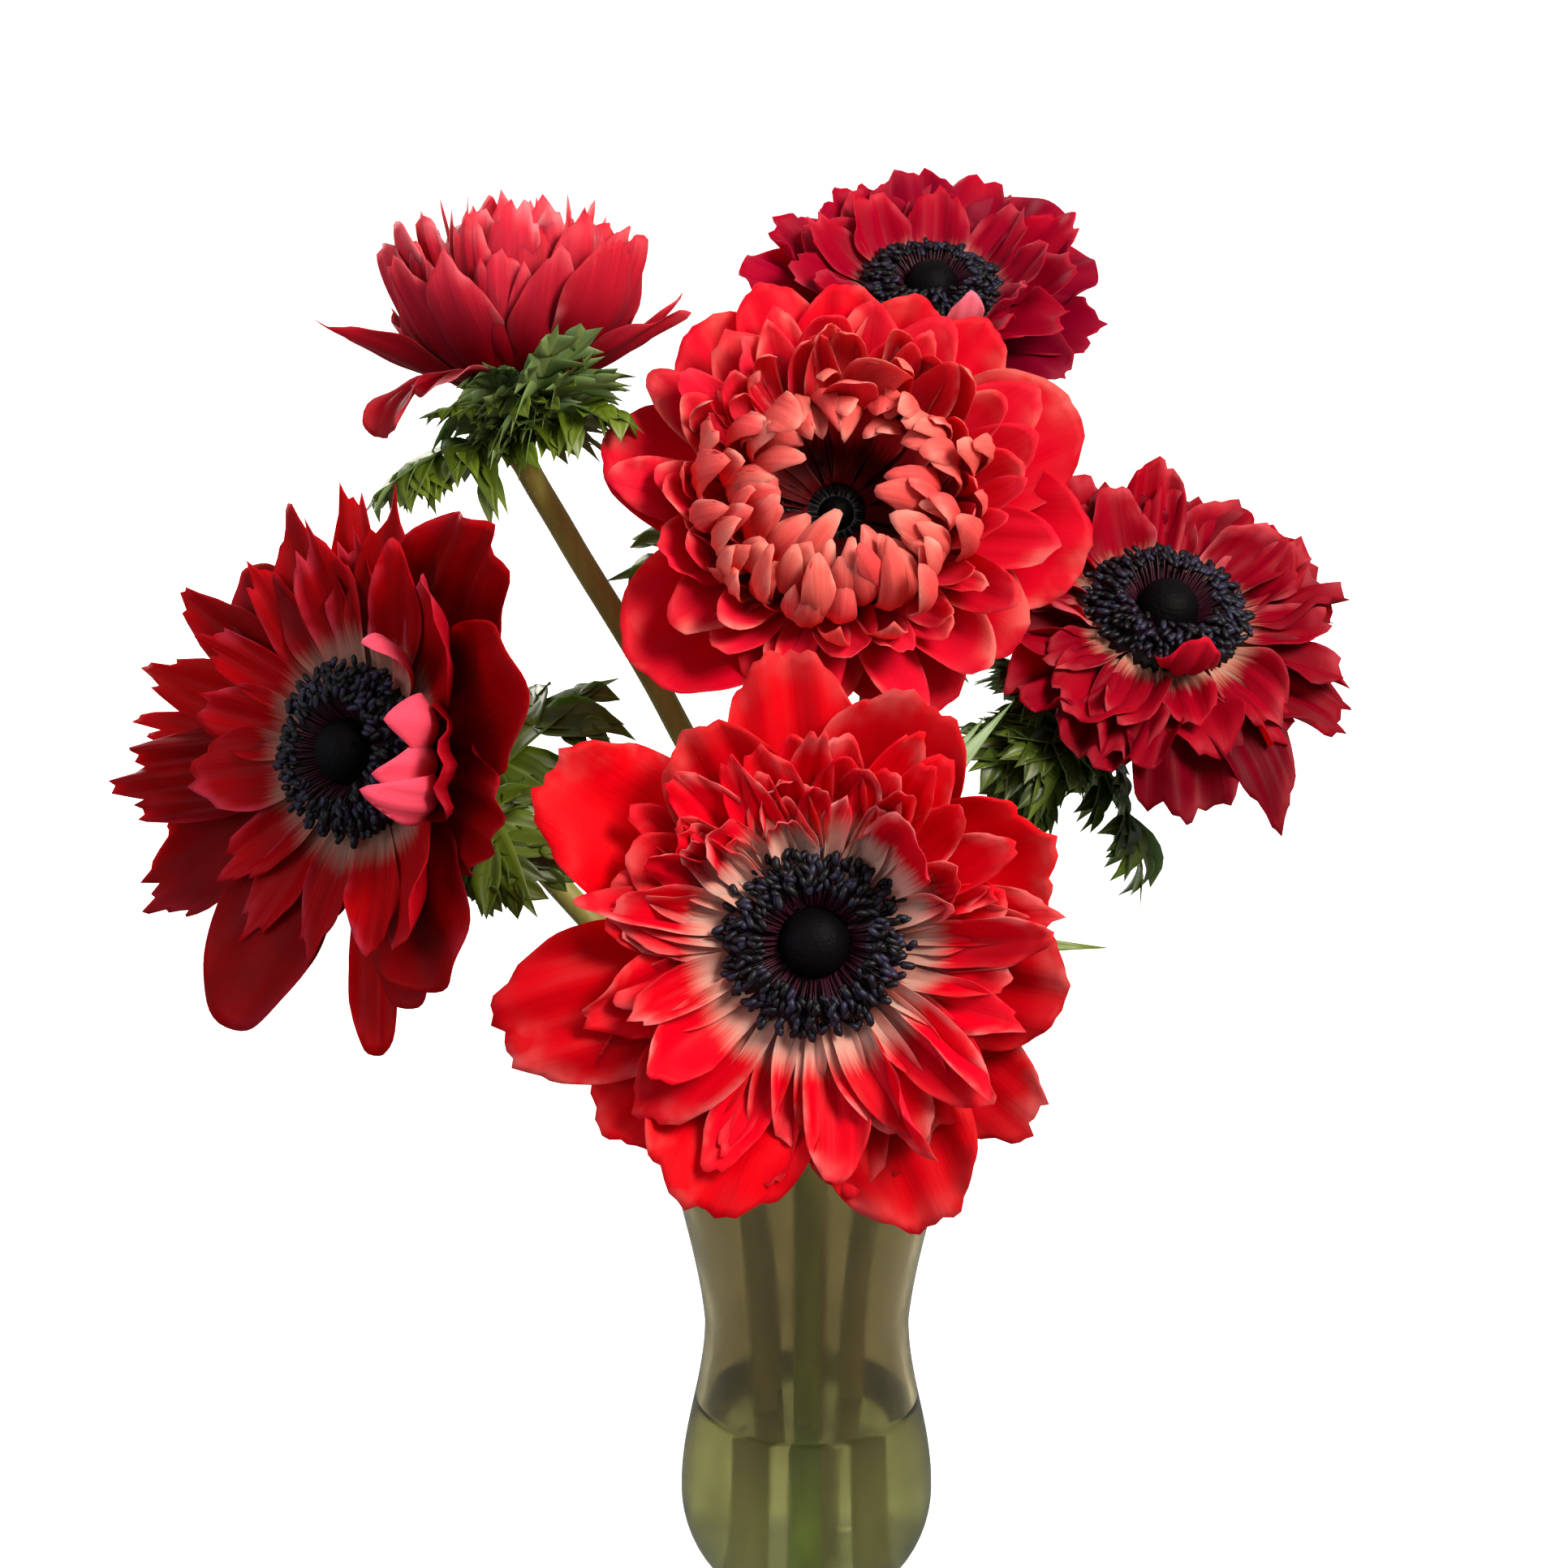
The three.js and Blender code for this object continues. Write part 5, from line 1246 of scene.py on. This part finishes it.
def leaf_lobes(seed):
    """Every lobe of a leaf of length 1: a rib with end lobes, and forked, toothed segments on both sides."""
    lobes = [{**lobe((0, 0, 0), 0, 1, LOBE_HALF_WIDTH * 1.2, 0, seed), "bend": 0.0, "twist": 0.0}]
    for sign in (-1, 1):
        for k, (root, reach) in enumerate(END_LOBES):
            lobes.append(lobe((root, 0, 0), sign * 0.5, reach, LOBE_HALF_WIDTH * 0.7, 0,
                              seed + k + sign * 0.3))
        for k, segment in enumerate(LEAF_SEGMENTS):
            grown = segment["reach"] * (1 + LEAF_VARIETY * float(draw(seed + k + sign * 0.5)))
            for f, fork in enumerate(LEAF_FORK):
                angle = math.radians(segment["angle"] + fork["turn"])
                chance = seed + 3 * k + 1.7 * f + 0.9 * sign
                stem = lobe((segment["root"], 0, 0), sign * angle, grown * fork["share"], LOBE_HALF_WIDTH,
                            0.35 * float(draw(chance + 0.2)), chance)
                lobes.append(stem)
                for t, tooth in enumerate(LEAF_TEETH):
                    turn = sign * (angle + math.radians(tooth["turn"]))
                    slope = stem["slope"] + 2 * stem["bend"] * tooth["from"]
                    lobes.append(lobe(lobe_point(stem, tooth["from"]), turn, grown * tooth["share"],
                                      LOBE_HALF_WIDTH * 0.62, slope, chance + 0.13 * t))
    return lobes


print(len(leaf_lobes(0)), "lobes in a leaf")

# %% Leaf formula
LEAF_ROOT_RADIUS = 0.8
LEAF_FOLD = 0.28
LEAF_THICKNESS = 0.36
LOBE_ROWS, LOBE_COLUMNS = 8, 5


def leaf_shell(leaf, seed, lobes):
    """Points, faces and mask of one leaf about its stem, its mask being vein, tone and side.

    A lobe's half width is w (0.2 + 0.8 sin(pi s^0.85)^0.9)(1 - s^6). x is along the rib and y across it,
    the height falls by the fold |y|, and the line of the petals bends x out and up.
    """
    around, length, rise, bend = leaf
    rise, bend = math.radians(rise), math.radians(bend)
    column = {key: np.array([one[key] for one in lobes])[:, None, None]
              for key in ("angle", "length", "width", "slope", "bend", "twist")}
    start = np.array([one["start"] for one in lobes])[:, None, None, :]
    s = np.linspace(0, 1, LOBE_ROWS)[None, :, None]
    v = np.linspace(-1, 1, LOBE_COLUMNS)[None, None, :]
    width = column["width"] * (0.2 + 0.8 * np.sin(math.pi * np.clip(s, 0, 1) ** 0.85) ** 0.9) * (1 - s ** 6)
    side = v * width * np.cos(column["twist"] * s)
    x = start[..., 0] + column["length"] * s * np.cos(column["angle"]) - side * np.sin(column["angle"])
    y = start[..., 1] + column["length"] * s * np.sin(column["angle"]) + side * np.cos(column["angle"])
    z = (start[..., 2] + column["length"] * s * (column["slope"] + column["bend"] * s)
         + v * width * np.sin(column["twist"] * s) + 0.5 * width * v ** 2)
    thick = LEAF_THICKNESS / 2 * (1 - 0.7 * v ** 2) * np.clip((1 - s) * 5, 0.2, 1)
    out, high = bent_line(length, rise, bend, 1.0, np.maximum(x, 0))
    slope = rise + bend * x
    shells = []
    for sign in (1, -1):
        lift = (z - LEAF_FOLD * np.abs(y)) * length + sign * thick
        shells.append(np.stack([LEAF_ROOT_RADIUS + out - lift * np.sin(slope), y * length + 0 * lift,
                                high + lift * np.cos(slope)], axis=-1))
    rings = np.concatenate([shells[0], shells[1][:, :, ::-1]], axis=2)
    ones = np.ones(rings.shape[:3])
    below = np.arange(2 * LOBE_COLUMNS) >= LOBE_COLUMNS
    vein = np.abs(np.concatenate([v, v[..., ::-1]], axis=2))
    tone = draw(seed + 0.7 + np.arange(len(lobes)))[:, None, None]
    turn = math.radians(around)
    spin = np.array([[math.cos(turn), -math.sin(turn), 0], [math.sin(turn), math.cos(turn), 0], [0, 0, 1]])
    return (rings.reshape(-1, 3) @ spin.T, blade_faces(LOBE_ROWS, LOBE_COLUMNS, len(lobes)),
            {"mask": np.stack([ones * vein, ones * tone, ones * below], axis=-1).reshape(-1, 3)})


# %% Stalk, collar and hairs of a stem
STEM_RADIUS = 2.3
FOOT_THICKER, TAPER = 1.04, 0.1
STEM_SIDES = 20
STEM_RIBS = 7
RIB_HEIGHT = 0.03
NODE_SWELL = 1.3
NODE_SPREAD = 2.6
# How far each stem turns lime under water: partly its own colour, partly painted light the glass holds back.
LIME_LIT_IN_WATER = {"front": 1.0, "coral": 0.25}
BLADE_HALF_WIDTH = 0.042
BLADE_TWIST = 0.3
PALE_BLADE = 1.6
HAIRS_PER_STEM = 420
HAIR_LENGTH = 1.0
HAIR_RADIUS = 0.05
HAIR_SUNK = 0.97
HAIR_SHIFT, HAIR_LEAN, HAIR_UNEVEN = 1.3, 0.35, 0.4


def stalk_piece(name, line, frames, radius):
    """The tube round a stem's line, ribbed by r (1 + 0.03 cos(7 a))."""
    _, normals, binormals = frames
    rings = tube_rings(line[None], normals[None], binormals[None], radius[None], STEM_SIDES)[0]
    angle = np.arange(STEM_SIDES) * 2 * math.pi / STEM_SIDES
    rib = 1 + RIB_HEIGHT * np.cos(STEM_RIBS * angle)[None, :, None]
    rings = line[:, None, :] + (rings - line[:, None, :]) * rib
    lime_lit_share = np.full((STEM_ROWS * STEM_SIDES, 3), LIME_LIT_IN_WATER.get(name, 0.0))
    make_piece(f"stalk_of_{name}", rings.reshape(-1, 3), tube_faces(STEM_ROWS, STEM_SIDES), stem_skin,
               "stem_green", f"stem_{name}", {"mask": lime_lit_share})


def leaves_piece(name, bloom, number, place):
    """The collar's leaves, and the pale blades that hang among them, in a frame along the stem."""
    leaves = bloom["leaves"] + bloom.get("more_leaves", [])
    shells = [leaf_shell(leaf, number * 10 + k, leaf_lobes(number * 10 + k)) for k, leaf in enumerate(leaves)]
    for _, _, masks in shells:
        # Painted shade: the bloom's leaf shade darkens all its leaves, for those that hang in the blooms'
        # shadow.
        masks["mask"][:, 1] += bloom.get("leaf_painted_shade", 0.0)
    for k, blade in enumerate(bloom.get("blades", [])):
        one = {**lobe((0, 0, 0), 0, 1, BLADE_HALF_WIDTH, 0, k), "bend": 0.0, "twist": BLADE_TWIST}
        shells.append(leaf_shell(blade, k, [one]))
        shells[-1][2]["mask"][:, 2] += PALE_BLADE * (k > 0)
    points, faces, masks = joined(shells)
    make_piece(f"leaves_of_{name}", placed(points, place), faces, leaf_skin, "stem_green",
               f"stem_{name}", masks)
    return len(shells)


def hairs_piece(name, number, line, frames, radius):
    """Slim three-sided spikes on the stem above the vase, each at a row and an angle of its own draw."""
    tangents, normals, binormals = frames
    i = np.arange(HAIRS_PER_STEM)
    seed = number * 1000 + i * 0.7
    row = np.interp(VASE_HEIGHT, line[:, 2], np.arange(STEM_ROWS))
    row = np.clip((row + (0.5 + 0.5 * draw(seed)) * (STEM_ROWS - 2 - row)).astype(int), 0, STEM_ROWS - 1)
    turn = math.pi * draw(seed + 0.3)[:, None]
    outward = np.cos(turn) * normals[row] + np.sin(turn) * binormals[row]
    foot = (line[row] + outward * (radius[row] * HAIR_SUNK)[:, None]
            + tangents[row] * (HAIR_SHIFT * draw(seed + 0.9))[:, None])
    corner = np.radians([0, 120, 240])[:, None]
    base = foot[:, None] + HAIR_RADIUS * (np.cos(corner) * tangents[row][:, None]
                                          + np.sin(corner) * np.cross(outward, tangents[row])[:, None])
    lean = outward + HAIR_LEAN * tangents[row] * draw(seed + 0.5)[:, None]
    tip = foot + lean * (HAIR_LENGTH * (1 + HAIR_UNEVEN * draw(seed + 0.6)))[:, None]
    points = np.concatenate([base, tip[:, None]], axis=1).reshape(-1, 3)
    spike = np.array([[0, 1, 3], [1, 2, 3], [2, 0, 3], [0, 2, 1]])
    make_piece(f"hairs_of_{name}", points, (spike[None] + 4 * i[:, None, None]).reshape(-1, 3), hair_skin,
               "stem_green", f"stem_{name}")


# %% Make stems and leaves
# The collar's frame looks along the stem, as the plain solid's does.
for number, (name, bloom) in enumerate(BLOOMS.items()):
    line, passed = stem_line(bloom)
    frames = carried_frames(line)
    at_collar = passed[-1] - bloom["collar"]
    swell = NODE_SWELL * np.exp(-((passed - at_collar) / NODE_SPREAD) ** 2)
    radius = STEM_RADIUS * (FOOT_THICKER - TAPER * passed / passed[-1]) + swell
    point, axis = (np.array([np.interp(at_collar, passed, values[:, k]) for k in range(3)])
                   for values in (line, frames[0]))
    stalk_piece(name, line, frames, radius)
    count = leaves_piece(name, bloom, number, frame_at(point, unit(axis), np.array([1.0, 0.0, 0.0])))
    hairs_piece(name, number, line, frames, radius)
    print(name, f"stem {passed[-1]:.0f} mm long,", count, "leaves")

# %% [markdown]
# ## The disc behind each bloom
#
# Seen from behind, the petals meet on a small green disc at the end of the stem. It is a plain lathe,
# turned to the bloom's frame.

# %% Discs
DISC_RADIUS = 7.4
DISC_PROFILE = [(0, -3.6), (0.35, -3.6), (0.75, -3.3), (1.0, -2.6), (1.0, 0.6), (0.85, 0.95), (0, 1.0)]
DISC_SIDES = 32
for name, bloom in BLOOMS.items():
    points, faces = lathe([(r * DISC_RADIUS, z) for r, z in DISC_PROFILE], DISC_SIDES)
    make_piece(f"disc_of_{name}", placed(points, bloom_frame(bloom)), faces, stem_skin, "stem_green",
               f"petals_{name}")
    print(name, "disc")
